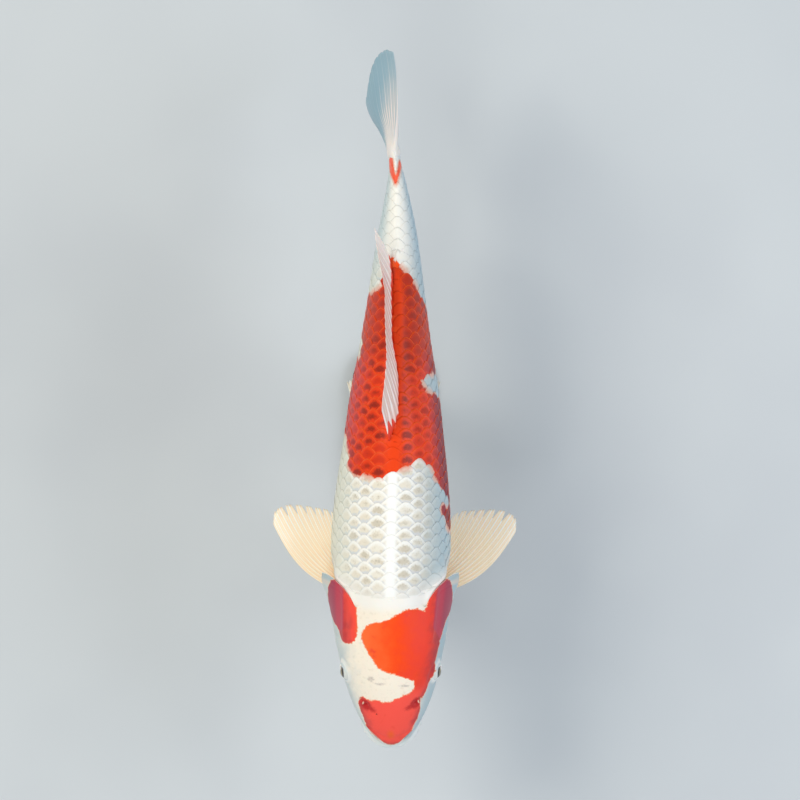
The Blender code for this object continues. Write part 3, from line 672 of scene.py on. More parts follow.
def build_skin(settings):
    """One skin over head, gill covers and trunk, with a true slit behind each gill cover."""
    turn, s, stand, zone = skin_places()
    point = flesh(s, turn, stand)
    beside = np.roll(point, -1, axis=1) - np.roll(point, 1, axis=1)
    normal = unit(np.cross(np.gradient(point, axis=0), beside))
    up = normal[..., 2]
    side = np.where(np.cos(turn) >= 0, 1.0, -1.0)
    down = way_down(turn)
    outside = zone == OUTSIDE
    marks = {"fold": lip_folds(s, point[..., 2], 1.15) * outside * smooth(2, 10, s)}
    for hand, sign in SIDES.items():
        for key, height in nostril_relief(point, hand).items():
            marks[key] = np.where(side == sign, height, marks.get(key, 0.0))
    rise = head_relief(s, point[..., 2]) * outside * smooth(-0.2, 0.3, s)
    rise += marks["flap"] - marks["pit"] - 0.8 * marks["hollow"]
    # gill cover: a roll along its upper edge, a hem and fine ribs before its rear edge
    hem = np.where(outside, cover_rear(turn) - s, 0.0)
    on_cover = smooth(0.02, 0.10, down) * smooth(1.02, 0.92, down) * smooth(88, 96, s) * outside
    crease = gill_crease(s, side)
    past_roll = np.abs(point[..., 0]) - crease
    rise += on_cover * (up > 0) * (0.9 * bell(past_roll, 1.6) - 0.5 * bell(past_roll - 4.5, 2.5))
    rise -= 0.3 * on_cover * bell(hem - 8.0, 1.3)
    rise += 0.16 * on_cover * np.sin(hem * 2.2) * smooth(8, 4, hem)
    behind_front = s - coat_front(turn)
    rise -= coat_depth(s) * smooth(-1.0, 13.0, behind_front) * ((zone == TRUNK) | (on_cover < 0.02))
    point = point + normal * rise[..., None]
    marks.update(skin_marks(s, point, turn, side, up > 0.15, crease, zone))
    marks.update({"along": s, "up": up, "nape": behind_front, "hem": np.where(on_cover > 0.5, hem, FAR_BACK),
                  "slit": (zone == LINING) * edge_free(turn)})
    values = {key: np.append(np.ravel(value), np.ravel(value)[[0, -1]]) for key, value in marks.items()}
    end = [spine_x(FLESH_END), SNOUT_Y + FLESH_END - 0.3, 0.0]
    skin = make_mesh("skin", *capped_tube(point, point[0].mean(axis=0), end), skin_material(settings), values)
    unroll_tube(skin, *s.shape)
    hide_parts("head", "jaw_lower", "trunk", "tail_stalk", "gill_cover_left", "gill_cover_right")


def skin_marks(s, point, turn, side, top, crease, zone):
    """What the skin's material paints: red markings, eye rims, lips, smudges, and painted shade on the gill
    cover's plate past its crease.
    """
    x, z = point[..., 0], point[..., 2]
    arc = outer_girth.arc_at(s, turn) * side
    red = redness(s, arc, outer_girth, BODY_MARKS)
    red = np.where(zone <= EDGE, np.maximum(redness(s, arc, outer_girth, HEAD_MARKS), red), red)
    # the lids stay white inside the red
    red = np.minimum(red, np.hypot((s - EYE_AT + 3.5) / 1.25, z - EYE_UP) - 8.2)
    lip = smooth(30, 22, s) * bell(np.clip(z - MOUTH_LEVEL - 2.5, 0, 99)
                                   / np.maximum(9 * lip_arch(s, ahead=5), 0.5), 1.0)
    past_crease = np.where(top, np.minimum(np.abs(x) - crease, FAR_OUT), FAR_OUT)
    beside_spine = np.abs(x - spine_x(s)) / np.maximum(half_width(s), 1)
    smudge = sum(bell(s - at, long_) * bell(x - off, wide) for at, off, long_, wide in SMUDGES)
    return {"red": red,
            "side": side * np.clip(beside_spine, 0, 1.3),
            "eye_away": np.hypot(s - EYE_AT, z - EYE_UP),
            "lip": np.where(z < MOUTH_LEVEL - 9, lip * 0.5, lip),
            # distance past the gill cover's crease; the material paints the steep outer plate darker there as
            # painted shade
            "plate": np.where(s > 86, past_crease - 0.7 * np.maximum(104 - s, 0), -10.0),
            "smudge": smudge * top,
            "glow": bell(s - 11, 5.5) * bell(x + 1, 4.5) * top,
            "dot": np.hypot(s - 29, x + 13.2) + 20.0 * ~top}


def unroll_tube(obj, rows, cols):
    """Lay a capped tube out flat, cut open before its first column."""
    vertex = read_all(obj.data.loops, "vertex_index")
    starts = read_all(obj.data.polygons, "loop_start")
    sizes = read_all(obj.data.polygons, "loop_total")
    pole = rows * cols
    row, col = vertex // cols, (vertex % cols).astype(float)
    highest = np.repeat(np.maximum.reduceat(np.where(vertex < pole, col, 0), starts), sizes)
    col = np.where((highest == cols - 1) & (col == 0) & (vertex < pole), cols, col)
    col = np.where(vertex >= pole, highest - 0.5, col)
    row = np.where(vertex == pole, -1, np.where(vertex == pole + 1, rows, row))
    keep_uv(obj, 0.01 + 0.98 * np.stack([col / cols, (row + 1) / (rows + 1)], -1))


def skin_material(settings):
    """Living fish skin under a film of slime: soft underneath, wet on top.

    The slime gives the eye sharp small highlights over a milky depth; the colour
    cells lie in the skin, so the markings have soft grainy edges.
    """
    found = bpy.data.materials.get("wet_skin")
    if found:
        return found
    material, tree, shader = new_material("wet_skin")
    got = carried(tree, "red", "along", "side", "up", "eye_away", "lip", "pit", "hollow", "hem", "slit",
                  "plate", "smudge", "glow", "dot", "nape", "flap", "fold")
    clouds, patches = grain(tree, 5.0, 4.0), grain(tree, 2.0, 4.0, rough=0.6)
    cells, fine = grain(tree, 0.8, 3.0, rough=0.6), grain(tree, 0.35, 2.0)
    white = layered(tree, "#FAEEDB", [
        (patches, 0.52, 0.72, "#F0E4D0"),
        # faces turning from the top are painted grey-blue: partly painted shade, partly the skin's own bluish
        # translucence
        (shifted(tree, got["up"], clouds, 0.5), 0.80, 0.20, "#C6CFCD"),
        # the fish's left, away from the key light, is painted grey-blue: painted shade
        (got["side"], 0.55, 1.0, "#ADC0C5"),
        # below the widest line the painted grey-blue gives way to a greyish white
        (got["up"], 0.2, -0.12, "#E6E3DA"),
        (shifted(tree, got["lip"], clouds, 0.5), 0.25, 0.8, "#E2E6E3"),
        # the lip's folds are painted grey-blue: partly painted shade gathering in the creases, partly darker
        # skin
        (got["fold"], 0.3, 1.0, "#95A9B1"),
        (shifted(tree, got["smudge"], cells, 1.2), 0.35, 1.1, "#CFC4B8"),
        # the hollows round the nostrils are painted brown on white skin: painted shade in the recess
        (shifted(tree, got["hollow"], cells, 0.8), 0.25, 0.9, "#B79A7E"),
        (shifted(tree, got["eye_away"], clouds, 5.0), 12.5, 8.0, "#E9EAE3"),
        (shifted(tree, got["eye_away"], patches, 2.0), 9.0, 6.5, "#C2CED0"),
        (got["eye_away"], 6.8, 5.8, "#FBF9F2"),
        (got["nape"], -7.0, 3.0, "#F5F1E8"),
        (got["hem"], 10.5, 7.0, "#D3CBC0"),
        (got["hem"], 6.5, 2.5, "#B0C0C3"),
    ])
    red = layered(tree, (*settings.head_red, 1.0), [
        (shifted(tree, got["side"], clouds, 0.5), 0.2, -0.6, "#FF7036"),
        (shifted(tree, got["side"], clouds, 0.3), -0.54, -0.68, "#FA5040"),
        (shifted(tree, got["side"], clouds, 0.8), -0.1, 0.75, "#F64430"),
        (got["along"], 58.0, 44.0, "#FF594B"),
        (clouds, 0.58, 0.78, "#F24630"),
        (got["glow"], 0.3, 1.3, "#FF6A1E"),
        (got["along"], 470.0, 492.0, "#FF6440"),
        # the red turns maroon where faces turn from the top: painted shade
        (shifted(tree, got["up"], clouds, 0.4), 0.78, 0.38, "#B23A3E"),
        # the hollows round the nostrils are painted a darker red: painted shade in the recess
        (shifted(tree, got["hollow"], cells, 0.5), 0.12, 0.75, "#C22C2C"),
        # the gill cover's steep outer plate past its crease is painted maroon, darkest at its outer edge:
        # painted shade
        (shifted(tree, got["plate"], patches, 2.0), -0.9, 1.3, "#C04254"),
        (got["plate"], 5.0, 9.0, "#A63E54"),
        # below the widest line the painted maroon gives way to a plainer red
        (got["up"], 0.12, -0.2, "#C83A36"),
        (got["hem"], 2.6, 0.8, "#C25450"),
        (fine, 0.68, 0.82, "#FF7A4A"),
    ])
    edge = shifted(tree, shifted(tree, got["red"], cells, 3.0), patches, 4.0)
    colour = layered(tree, white, [(edge, -1.0, 0.1, "#F7A67A"),
                                   (edge, -0.5, 0.7, red),
                                   (got["dot"], 0.75, 0.45, "#3A1A16"),
                                   # the nostril pits are painted a darker red: painted shade in the pits
                                   (got["pit"], 1.3, 2.6, "#A0443A"),
                                   (got["flap"], 0.7, 1.4, "#F6C9B0"),
                                   (got["slit"], 0.3, 0.9, "#CDB9AE")])
    finished(tree, shader, colour, {
        "Roughness": 0.42, "IOR": 1.36, "Specular IOR Level": 0.3,
        "Coat Weight": 0.1, "Coat Roughness": 0.22,
        "Subsurface Weight": 0.1, "Subsurface Radius": (1.0, 0.45, 0.3), "Subsurface Scale": 0.0018})
    # pores and fine wrinkles about 0.6 mm apart
    bumped(tree, shader, grain(tree, 0.6, 4.0), 0.10)
    return material


# ------------------------------------------------------------------ scales
SCALE_ALONG, SCALE_ACROSS = 14, 10
# behind the snout -> rows above and below the lateral line, its height, and a scale's open length
ROWS_UP = [(0, 7), (262, 7), (300, 6.5), (340, 6.0), (380, 5.3), (422, 4.6), (428, 4.0), (600, 4.0)]
ROWS_DOWN = [(0, 8), (262, 8), (330, 6.5), (392, 5.0), (425, 4.0), (600, 4.0)]
LINE_HEIGHT = [(0, 6), (200, 6), (300, 4), (400, 1), (600, 0)]
PITCH = [(0, 11.2), (150, 11.2), (300, 10.3), (513, 9.6), (600, 9.6)]
DORSAL_START, DORSAL_END = 264.0, 421.0
# share of the back fin's foot from its front -> place beside the middle line, + to the fish's left
DORSAL_FOOT = [(0, -2.6), (0.083, 1.5), (0.146, 4.7), (0.33, 4.8), (0.42, 3.0), (0.53, -0.3),
               (0.82, -0.5), (0.88, 0.3), (1, -2.2)]
COAT_START, COAT_END = 100, 511            # first and last tip of a scale, behind the snout
COAT_SPLIT = 300                           # where the front coats pass into the rear coats
SCALE_REACH = 1.9                          # length of a scale, in open lengths
SCALE_HALF = 0.98                          # half width of a scale, in rows
TIP_CURVE, TIP_POWER = 0.84, 1.6           # how the free edge runs back from the tip to the sides
TIP_RISE, ROOT_SINK = 1.7, 0.7             # rise of the tip over the root and depth of the root, in lifts
ROOT_THICK, TIP_THICK = 0.26, 0.11
PATCH, PATCH_STEP = 0.003, 0.0035          # size of a scale's patch in the layout, step to its underside


def pitch_numbers(scale_size):
    """Places along the body and the running number of scale lengths up to each."""
    s = np.arange(0.0, 600.0, 1.0)
    return s, np.concatenate([[0], np.cumsum(1 / (at_knots(PITCH, s[:-1] + 0.5) * scale_size))])


def row_arc(s, row):
    """Arc length from the ridge to a scale row, counted up from the lateral line."""
    reach = np.maximum(back(s) - widest(s), 1)
    lift = np.clip((at_knots(LINE_HEIGHT, s) - widest(s)) / reach, 0, 1)
    line = inner_girth.arc_at(s, np.arcsin(lift ** (full_top(s) / 2)))
    above = line * (1 - row / at_knots(ROWS_UP, s))
    below = line + (inner_girth.half_at(s) - line) * (-row / at_knots(ROWS_DOWN, s))
    return np.where(row >= 0, above, below)


def plan_scales(settings):
    """Every scale as (side, row, running number of its tip, place of its tip)."""
    s_at, number_at = pitch_numbers(settings.scale_size)
    plan = []
    for row in range(-8, 8):
        for step in range(int(number_at[-1]) + 1):
            number = step + 0.5 * (row % 2)
            tip = float(np.interp(number, number_at, s_at))
            if not COAT_START <= tip <= COAT_END:
                continue
            rows_up, rows_down = at_knots(ROWS_UP, tip), at_knots(ROWS_DOWN, tip)
            beside_fin = DORSAL_START - 6 < tip < DORSAL_END + 8
            if row > rows_up + (0.45 if beside_fin else 0.01) or -row > rows_down + 0.01:
                continue
            turn = inner_girth.turn_at(tip, max(float(row_arc(tip, row)), 0.0))
            if tip < coat_front(turn) + 4.4:
                continue
            single = abs(row - rows_up if row >= 0 else -row - rows_down) < 0.02
            plan += [(side, row, number, tip) for side in ((1,) if single else (1, -1))]
    return plan


def scale_shapes(settings, plan):
    """Upper face points, normals and carried values of all the scales, (scale, along, across, ...)."""
    s_at, number_at = pitch_numbers(settings.scale_size)
    seed = np.random.default_rng(11)
    side, row, number, _ = np.array(plan, float).T[..., None, None]
    # no two scales are quite alike in place, edge, twist, lift or tilt
    shove, edge_bend, twist, raise_, tilt, roll = seed.normal(0, 1, (6, len(plan)))[..., None, None]
    t = np.linspace(0, 1, SCALE_ALONG)[None, :, None]
    across = np.linspace(-1, 1, SCALE_ACROSS)[None, None, :]
    tip = np.interp(number, number_at, s_at) + 0.35 * shove
    pitch = at_knots(PITCH, tip) * settings.scale_size
    here = row_arc(tip, row)
    spacing = np.abs(row_arc(tip, row + 0.5) - row_arc(tip, row - 0.5))
    spacing = np.where(row == 0, (spacing + np.abs(row_arc(tip, row + 1) - here)) / 2, spacing)
    half = SCALE_HALF * spacing
    root = tip - SCALE_REACH * pitch
    curve = np.abs(across) ** (TIP_POWER + 0.08 * edge_bend)
    free = tip - TIP_CURVE * np.minimum(half, 1.15 * pitch) * curve
    s = root + t * (free - root)
    safe = np.clip(s, 1, FLESH_END - 0.5)
    # a scale widens from its root to its open part
    width = 0.72 + 0.28 * np.sin(np.clip(t * 1.5, 0, 1) * math.pi / 2)
    middle = row_arc(np.clip(s, 1, FLESH_END), row)
    arc = side * (middle + across * half * width) + 0.012 * twist * (s - root) * side
    # beside the back fin the rows of both sides meet at its foot
    beside_fin = (s > DORSAL_START) & (s < DORSAL_END) & (row > 0)
    foot = at_knots(DORSAL_FOOT, (s - DORSAL_START) / (DORSAL_END - DORSAL_START)) - spine_x(safe)
    arc = np.where(beside_fin, side * np.maximum(side * arc, side * foot + 0.5), arc)
    arc = past_belly(safe, arc, inner_girth)
    turn = on_side(arc, inner_girth.turn_at(safe, np.abs(arc)))
    normal = flesh_normal(safe, turn)
    # the height follows the place along the body, so that the sides dip under the scales ahead
    lift = settings.scale_lift * (1 + 0.07 * raise_) * (1 - 0.5 * smooth(370, 440, tip))
    open_ = np.clip((s - root) / (SCALE_REACH * pitch), 0, 1)
    height = TIP_RISE * open_ ** 1.1 - ROOT_SINK + 0.18 * (1 - across ** 2) * np.sin(open_ * math.pi * 0.8)
    height = lift * (height + 0.05 * tilt * open_ + 0.05 * roll * across * open_)
    point = flesh(safe, turn, shoulder_height(safe, turn)) + normal * (height - coat_depth(safe))[..., None]
    # how far each place lies behind the free edges that cover it
    offset = across * width * SCALE_HALF
    covers = []
    for neighbour, ahead in ((0, 1.0), (1, 0.5), (-1, 0.5)):
        a = np.clip(np.abs(offset - neighbour) / SCALE_HALF, 0, 1.02)
        covers.append(np.where(a <= 1.0, number - ahead - TIP_CURVE * half * a ** TIP_POWER / pitch, -99))
    lap = (np.interp(s, s_at, number_at) - np.maximum.reduce(covers)) * pitch
    red = redness(s, arc, inner_girth, BODY_MARKS)
    at_centre = redness(tip - 0.5 * pitch, side * np.maximum(here, 0), inner_girth, BODY_MARKS)
    return point, normal, {
        "red": red + 0.5 * (at_centre - red) * (tip < 470),
        "lap": lap,
        "edge": free - s,
        "core": bell(lap - 0.42 * pitch, 0.27 * pitch) * bell(across * half * width, 0.46 * half),
        "up": normal[..., 2],
        "along": s,
        "side": (point[..., 0] - spine_x(safe)) / np.maximum(half_width(safe), 1),
        "nape": s - coat_front(turn),
        # distance from the back's ridge, where the material paints a highlight; pushed out past the stalk so
        # the highlight fades there
        "ridge": np.abs(arc) + 8 * smooth(380, 430, s),
        "tone": np.broadcast_to(seed.uniform(0, 1, len(plan))[:, None, None], s.shape),
        "glow": np.broadcast_to(seed.uniform(0, 1, len(plan))[:, None, None], s.shape)}


def build_scales(settings):
    """Four coats of overlapping scales: front and rear, left and right."""
    plan = plan_scales(settings)
    point, normal, values = scale_shapes(settings, plan)
    thick = np.linspace(ROOT_THICK, TIP_THICK, SCALE_ALONG)
    lower = point - normal * thick[None, :, None, None]
    coats = {}
    for i, (side, _, _, tip) in enumerate(plan):
        key = ("left" if side > 0 else "right", "front" if tip < COAT_SPLIT else "rear")
        coats.setdefault(key, []).append(i)
    per = SCALE_ALONG * SCALE_ACROSS
    quads = np.array(closed_sheet_faces(SCALE_ALONG, SCALE_ACROSS))
    material = scale_material(settings)
    made = []
    for (hand, part), members in sorted(coats.items()):
        count = len(members)
        faces = quads + (np.arange(count) * 2 * per)[:, None, None]
        both = np.stack([point[members], lower[members]], axis=1)
        carried_values = {key: np.tile(v[members].reshape(count, per), 2) for key, v in values.items()}
        coat = make_mesh("scales_%s_%s" % (hand, part), both, faces.reshape(-1, 4).tolist(), material,
                         carried_values)
        unroll_scales(coat, np.array([plan[i] for i in members], float))
        made.append(coat)
    return made


def unroll_scales(coat, plan):
    """Give each scale a small patch for either face, at its tip's place on the unrolled skin."""
    side, row, _, tip = plan.T
    share = side * np.maximum(row_arc(tip, row), 0) / inner_girth.half_at(tip)
    spot = np.stack([0.5 + share * 0.49, 0.01 + 0.98 * (tip - COAT_START) / 420], -1)
    t, a = np.meshgrid(np.linspace(0, 1, SCALE_ALONG), np.linspace(0, 1, SCALE_ACROSS), indexing="ij")
    upper = spot[:, None] + PATCH * (np.stack([a.ravel(), t.ravel()], -1) - 0.5)
    places = np.concatenate([upper, upper + [PATCH_STEP, 0]], axis=1).reshape(-1, 2)
    keep_uv(coat, places[read_all(coat.data.loops, "vertex_index")])


def scale_material(settings):
    """Bony scale under thin skin: a milky plate with a clear margin over guanine.

    The guanine gives a pearly sheen, the clear margin a pale line along each free
    edge, and the red cells lie densest at the scale's middle. Light and shade are
    painted in too: a pale streak along the back's ridge is a painted highlight; the
    scales are painted greyer, bluer or maroon as shade where they turn from the top
    and towards the edge of the fish's left, and the red there is painted brighter
    over the upper flank as painted light.
    """
    material, tree, shader = new_material("bony_scale")
    got = carried(tree, "red", "lap", "edge", "core", "ridge", "nape", "up", "along", "side", "tone", "glow")
    clouds, patches = grain(tree, 9.0, 3.0), grain(tree, 2.4, 4.0, rough=0.6)
    cells, fine = grain(tree, 0.9, 3.0, rough=0.6), grain(tree, 0.45, 2.0)
    lap = shifted(tree, shifted(tree, got["lap"], cells, 2.0), patches, 4.5)
    edge = shifted(tree, shifted(tree, got["edge"], cells, 1.8), patches, 4.0)
    core = shifted(tree, shifted(tree, got["core"], cells, 1.3), clouds, 1.2)
    core = shifted(tree, shifted(tree, core, patches, 0.9), got["glow"], 1.0)
    # plain scales: beige grainy middle, pale grey-blue band by the covering edge (partly painted shade under
    # that edge, partly the thin scale's own tint), clear white margin
    # middle, band, margin and specks all turn greyer where the scale turns from the top: painted shade
    middle = layered(tree, "#EDE3CF", [(got["tone"], 0.55, 1.0, "#F2EBDB"), (patches, 0.52, 0.72, "#E0D6C3"),
                                       (got["up"], 0.55, 0.1, "#E2E0D2")])
    under_edge_tint_and_shade = layered(tree, "#DBDBDB", [(got["up"], 0.80, 0.35, "#C8D2D3")])
    margin = layered(tree, "#FCF9F0", [(got["up"], 0.6, 0.1, "#EAEAE0")])
    speck = layered(tree, "#D6CBB7", [(got["up"], 0.75, 0.35, "#DAD7CA"), (cells, 0.5, 0.7, "#C6BBA6")])
    # the stalk's flanks are painted grey-blue, bluest on the fish's left away from the key light: painted
    # shade
    stalk = layered(tree, "#F9F5EA", [(got["side"], 0.3, 1.05, "#9EBAC6"),
                                      (got["side"], -0.3, -0.95, "#C4D3D4")])
    low = layered(tree, "#EAE7DD", [(lap, 2.8, 0.3, "#D8DBDA"), (edge, 5.2, 1.4, "#F6F4EC")])
    plain = layered(tree, middle, [
        (core, 0.30, 1.1, speck),
        (lap, 2.8, 0.3, under_edge_tint_and_shade),
        (edge, 5.2, 1.4, margin),
        # toward the flanks seen from above the scales are painted darker and bluer on the fish's left, away
        # from the key light, and greyer on its right: painted shade
        (got["side"], 0.1, 1.3, "#C9C3B2"),
        (got["side"], 0.4, 0.98, "#B2C6CC"),
        (got["side"], -0.55, -1.0, "#E4E2D0"),
        (got["along"], 385.0, 440.0, stalk),
        # below the widest line the scales take plainer, softer colours in place of the painted shade above
        (got["up"], 0.16, -0.16, low),
        (got["nape"], 24.0, 3.0, "#EFEAE0"),
        # a near-white streak along the back's ridge: painted highlight
        (got["ridge"], 7.0, 2.6, "#FEFCF6"),
    ])
    # red scales: bright net along the edges, darker middle, with light and shade painted in by side and by
    # facing
    rear = shifted(tree, got["along"], clouds, 30.0)
    net = layered(tree, (*settings.body_red, 1.0), [
        (clouds, 0.5, 0.75, "#E0350C"),
        # painted light: a brighter red on the fish's left upper flank, away from the key light
        (got["side"], 0.25, 0.7, "#F84420"),
        # painted shade: a purpler red where the scales turn from the top
        (got["up"], 0.55, 0.15, "#D83C3A"),
        # painted shade: maroon toward the edge of the fish's left flank
        (got["side"], 0.7, 0.95, "#88182E"),
        (rear, 318.0, 350.0, "#CE340E"),
        # below the widest line the painted shade gives way to a plainer red
        (got["up"], 0.14, -0.18, "#D63E22"),
    ])
    spot = layered(tree, "#96220C", [
        # painted shade: purpler where the scales turn from the top
        (got["up"], 0.6, 0.25, "#B43034"),
        (cells, 0.5, 0.7, "#B83212"),
        # painted light: brighter on the fish's left upper flank, away from the key light
        (got["side"], 0.2, 0.7, "#C03018"),
        (got["along"], 335.0, 375.0, "#A82C18"),
        # painted shade: maroon toward the edge of the fish's left flank
        (got["side"], 0.75, 1.0, "#7E1C30"),
        # below the widest line the painted shade gives way to a plainer red
        (got["up"], 0.14, -0.18, "#A82E1C"),
    ])
    shade = layered(tree, "#D6320C", [
        # painted light: brighter on the fish's left upper flank, away from the key light
        (got["side"], 0.2, 0.7, "#E23C1C"),
        # painted shade: a purpler red where the scales turn from the top
        (got["up"], 0.6, 0.2, "#CC363A"),
        # painted shade: maroon toward the edge of the fish's left flank
        (got["side"], 0.7, 0.95, "#7E1830"),
        (rear, 318.0, 350.0, "#BC2E10"),
        # below the widest line the painted shade gives way to a plainer red
        (got["up"], 0.14, -0.18, "#C43620"),
    ])
    red = layered(tree, shade, [
        (core, 0.25, 1.05, spot),
        (lap, 2.4, 0.1, net),
        (edge, 4.6, 1.2, net),
        (got["edge"], 1.2, 0.1, "#FA5A1C"),
        # a brighter red along the back's ridge: painted highlight
        (got["ridge"], 10.0, 4.0, "#F4440E"),
        (got["along"], 470.0, 492.0, "#FF6040"),
    ])
    marked = shifted(tree, shifted(tree, got["red"], cells, 2.0), patches, 2.4)
    colour = layered(tree, plain, [(marked, -3.4, 0.2, "#E9B09A"), (marked, -0.4, 0.9, red)])
    finished(tree, shader, colour, {
        "Roughness": 0.42, "IOR": 1.36, "Specular IOR Level": 0.3,
        "Coat Weight": 0.1, "Coat Roughness": 0.25,
        "Subsurface Weight": 0.08, "Subsurface Radius": (1.0, 0.6, 0.45), "Subsurface Scale": 0.0012})
    # growth rings and skin film, about half a millimetre apart
    bumped(tree, shader, fine, 0.06)
    return material


# ------------------------------------------------------------------ fins
WEB_THICK = 0.34           # the web between the rays
RAY_FORK = 0.42            # share of the way out at which the rays fork


def ray_pattern(f, t, bundles, twins, notch, scalloped_from):
    """How much ray is at each place of a fin, and how far its free edge is cut back there."""
    phase = f * bundles
    main, single, twin = (0.5 + 0.5 * np.cos(2 * math.pi * phase * many) for many in (1, twins, 2 * twins))
    forked = smooth(RAY_FORK - 0.08, RAY_FORK + 0.14, t)
    ray = (single ** 1.6) * (1 - forked) + (twin ** 1.3) * (0.45 + 0.55 * single) * forked
    valley = np.abs(((phase + 0.5) % 1.0) - 0.5) * 2
    cut = notch * np.clip(1 - (1 - valley) * 2.6, 0, 1)
    return ray * (0.7 + 0.3 * main), cut * smooth(scalloped_from - 0.06, scalloped_from + 0.06, f)


def fin_piece(node, place, bundles, fine, steps=46, root_thick=2.0, rib=0.5, notch=0.06, twins=1,
              scalloped_from=-1.0, thickness=None, look=None):
    """Two-sided rayed sheet in place of a node. place(f, t) gives its middle surface in body millimetres.

    f is the share across the fin and t the share out along it. Each of its bundles of
    rays is fine points wide and holds that many twins; the free edge is notched between
    bundles where f is past scalloped_from.
    """
    count = bundles * fine + 1
    f, t = np.meshgrid(np.linspace(0, 1, count), np.linspace(0, 1, steps), indexing="ij")
    ray, cut = ray_pattern(f, t, bundles, twins, notch, scalloped_from)
    middle = place(f, t * (1 - cut))
    normal = unit(np.cross(np.gradient(middle, axis=0), np.gradient(middle, axis=1)))
    fade = 1 - t
    thick = (thickness(middle, f) if thickness
             else WEB_THICK + (root_thick - WEB_THICK) * fade ** 2.2 * (0.55 + 0.45 * ray))
    ray_joints = 1 + 0.10 * np.cos(t * 60) * smooth(0.15, 0.3, t)
    half = (thick + rib * ray * ray_joints * (0.35 + 0.65 * fade) * smooth(0, 0.14, t)) / 2
    # the free edge and both outer rays thin out round
    half = half * np.clip(fade / 0.02, 0.45, 1)
    half = half * np.clip(np.minimum(f, 1 - f) * count / 1.5, 0.3, 1)
    both = np.stack([middle + normal * half[..., None], middle - normal * half[..., None]])
    values = {"ray": ray, "out": t, "fan": f, "red": np.full_like(t, -20.0), "warm": np.zeros_like(t)}
    if look:
        values.update(look(f, t, ray))
    values = {key: np.tile(np.ravel(v), 2) for key, v in values.items()}
    fin = make_mesh(node + "_rayed", both, closed_sheet_faces(count, steps), fin_material(node), values)
    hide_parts(node)


FIN_TINTS = {     # root, middle, edge, web between the rays, shaded side
    "pectoral": ("#FFD6A4", "#FFF0DA", "#F3F3EE", "#FCDFBC", "#FFF2DE"),
    "pelvic": ("#F1D3B4", "#F3E4CC", "#DDE2DC", "#D9CBB4", "#EDE4D2"),
    "dorsal": ("#F8D0C2", "#FCEFE8", "#ECD6CE", "#DFBFB2", "#FAE8DE"),
    "anal": ("#EBD3C0", "#EDE2D2", "#DDE0DC", "#D3C8BC", "#E5DED2"),
    # the tail's grey-blue middle, edge, web and shaded side are painted shade: the thin web as it looks in
    # shade against a blue ground
    "tail": ("#F1ECE3", "#90AEBB", "#94B3C0", "#86A7B5", "#90AEBB"),
}


def fin_material(node):
    """Fin web stretched on bony rays, wet: pale ribs with a thin clearer web between.

    The jointed rays give fine bright lines that fork outwards, the web a duller,
    cooler ground that pales towards the margin.
    """
    kind = node.split("_")[1]
    found = bpy.data.materials.get("rayed_web_" + kind)
    if found:
        return found
    root, mid, rim, web, shade = FIN_TINTS[kind]
    material, tree, shader = new_material("rayed_web_" + kind)
    got = carried(tree, "ray", "out", "fan", "warm", "red")
    clouds, cells = grain(tree, 6.0, 3.0), grain(tree, 0.8, 3.0)
    out = shifted(tree, got["out"], clouds, 0.22)
    ground = layered(tree, root, [(out, 0.05, 0.45, mid), (out, 0.62, 0.98, rim)])
    flesh_tone = layered(tree, "#B9C0C2", [(got["ray"], 0.12, 0.5, "#E8DED8"), (out, 0.42, 0.05, "#F0E8DF")])
    colour = layered(tree, ground, [(shifted(tree, got["ray"], cells, 0.3), 0.55, 0.12, web),
                                    (got["fan"], 0.75, 1.0, shade),
                                    (shifted(tree, got["warm"], clouds, 0.2), 0.0, 1.0, flesh_tone),
                                    (shifted(tree, got["red"], cells, 1.2), -0.6, 0.9, "#E8442A")])
    finished(tree, shader, colour, {
        "Roughness": 0.38, "IOR": 1.42, "Coat Weight": 0.35, "Coat Roughness": 0.15,
        "Subsurface Weight": 0.3, "Subsurface Radius": (1.0, 0.7, 0.5), "Subsurface Scale": 0.0015})
    # fine wrinkles of the web, about 0.5 mm apart
    bumped(tree, shader, grain(tree, 0.5, 3.0), 0.05)
    return material


# share across the fin from its front ray -> length of the ray
PECTORAL_REACH = profile([(0, 86), (0.08, 92.5), (0.17, 96), (0.3, 93.5), (0.46, 86.5), (0.65, 78),
                          (0.84, 71.5), (1, 62)])
PECTORAL_LEAD = {"left": 57.0, "right": 51.0}      # degrees from the front ray to straight back
PECTORAL_SIZE = {"left": 1.02, "right": 1.0}
PECTORAL_FAN, PECTORAL_DROOP = 42.0, 9.0           # degrees
PECTORAL_HUB, PECTORAL_FOOT = 134.0, -47           # where the rays run together: place and turn


def pectoral_place(hand):
    """Middle surface of a pectoral fin: straight rays from a short slanted root."""
    side = SIDES[hand]
    hub = flesh(PECTORAL_HUB, on_side(side, math.radians(PECTORAL_FOOT)))

    def place(f, t):
        root = flesh(129 + 22 * f, on_side(side, np.radians(PECTORAL_FOOT - 3 * f)))
        angle = np.radians(PECTORAL_LEAD[hand] - PECTORAL_FAN * f)
        reach = PECTORAL_REACH(f) * PECTORAL_SIZE[hand]
        drop = -reach * math.sin(math.radians(PECTORAL_DROOP))
        chord = hub + np.stack([side * reach * np.sin(angle), reach * np.cos(angle), drop], -1) - root
        # the front rays bow forward and the whole fin arches up
        bow = np.stack([side * chord[..., 1], -np.abs(chord[..., 0]), np.zeros_like(f)], -1)
        point = root + chord * t[..., None] + bow * (0.125 * (1 - f) ** 1.5 * np.sin(math.pi * t))[..., None]
        point[..., 2] += 3.0 * np.sin(math.pi * t)
        return point
    return place


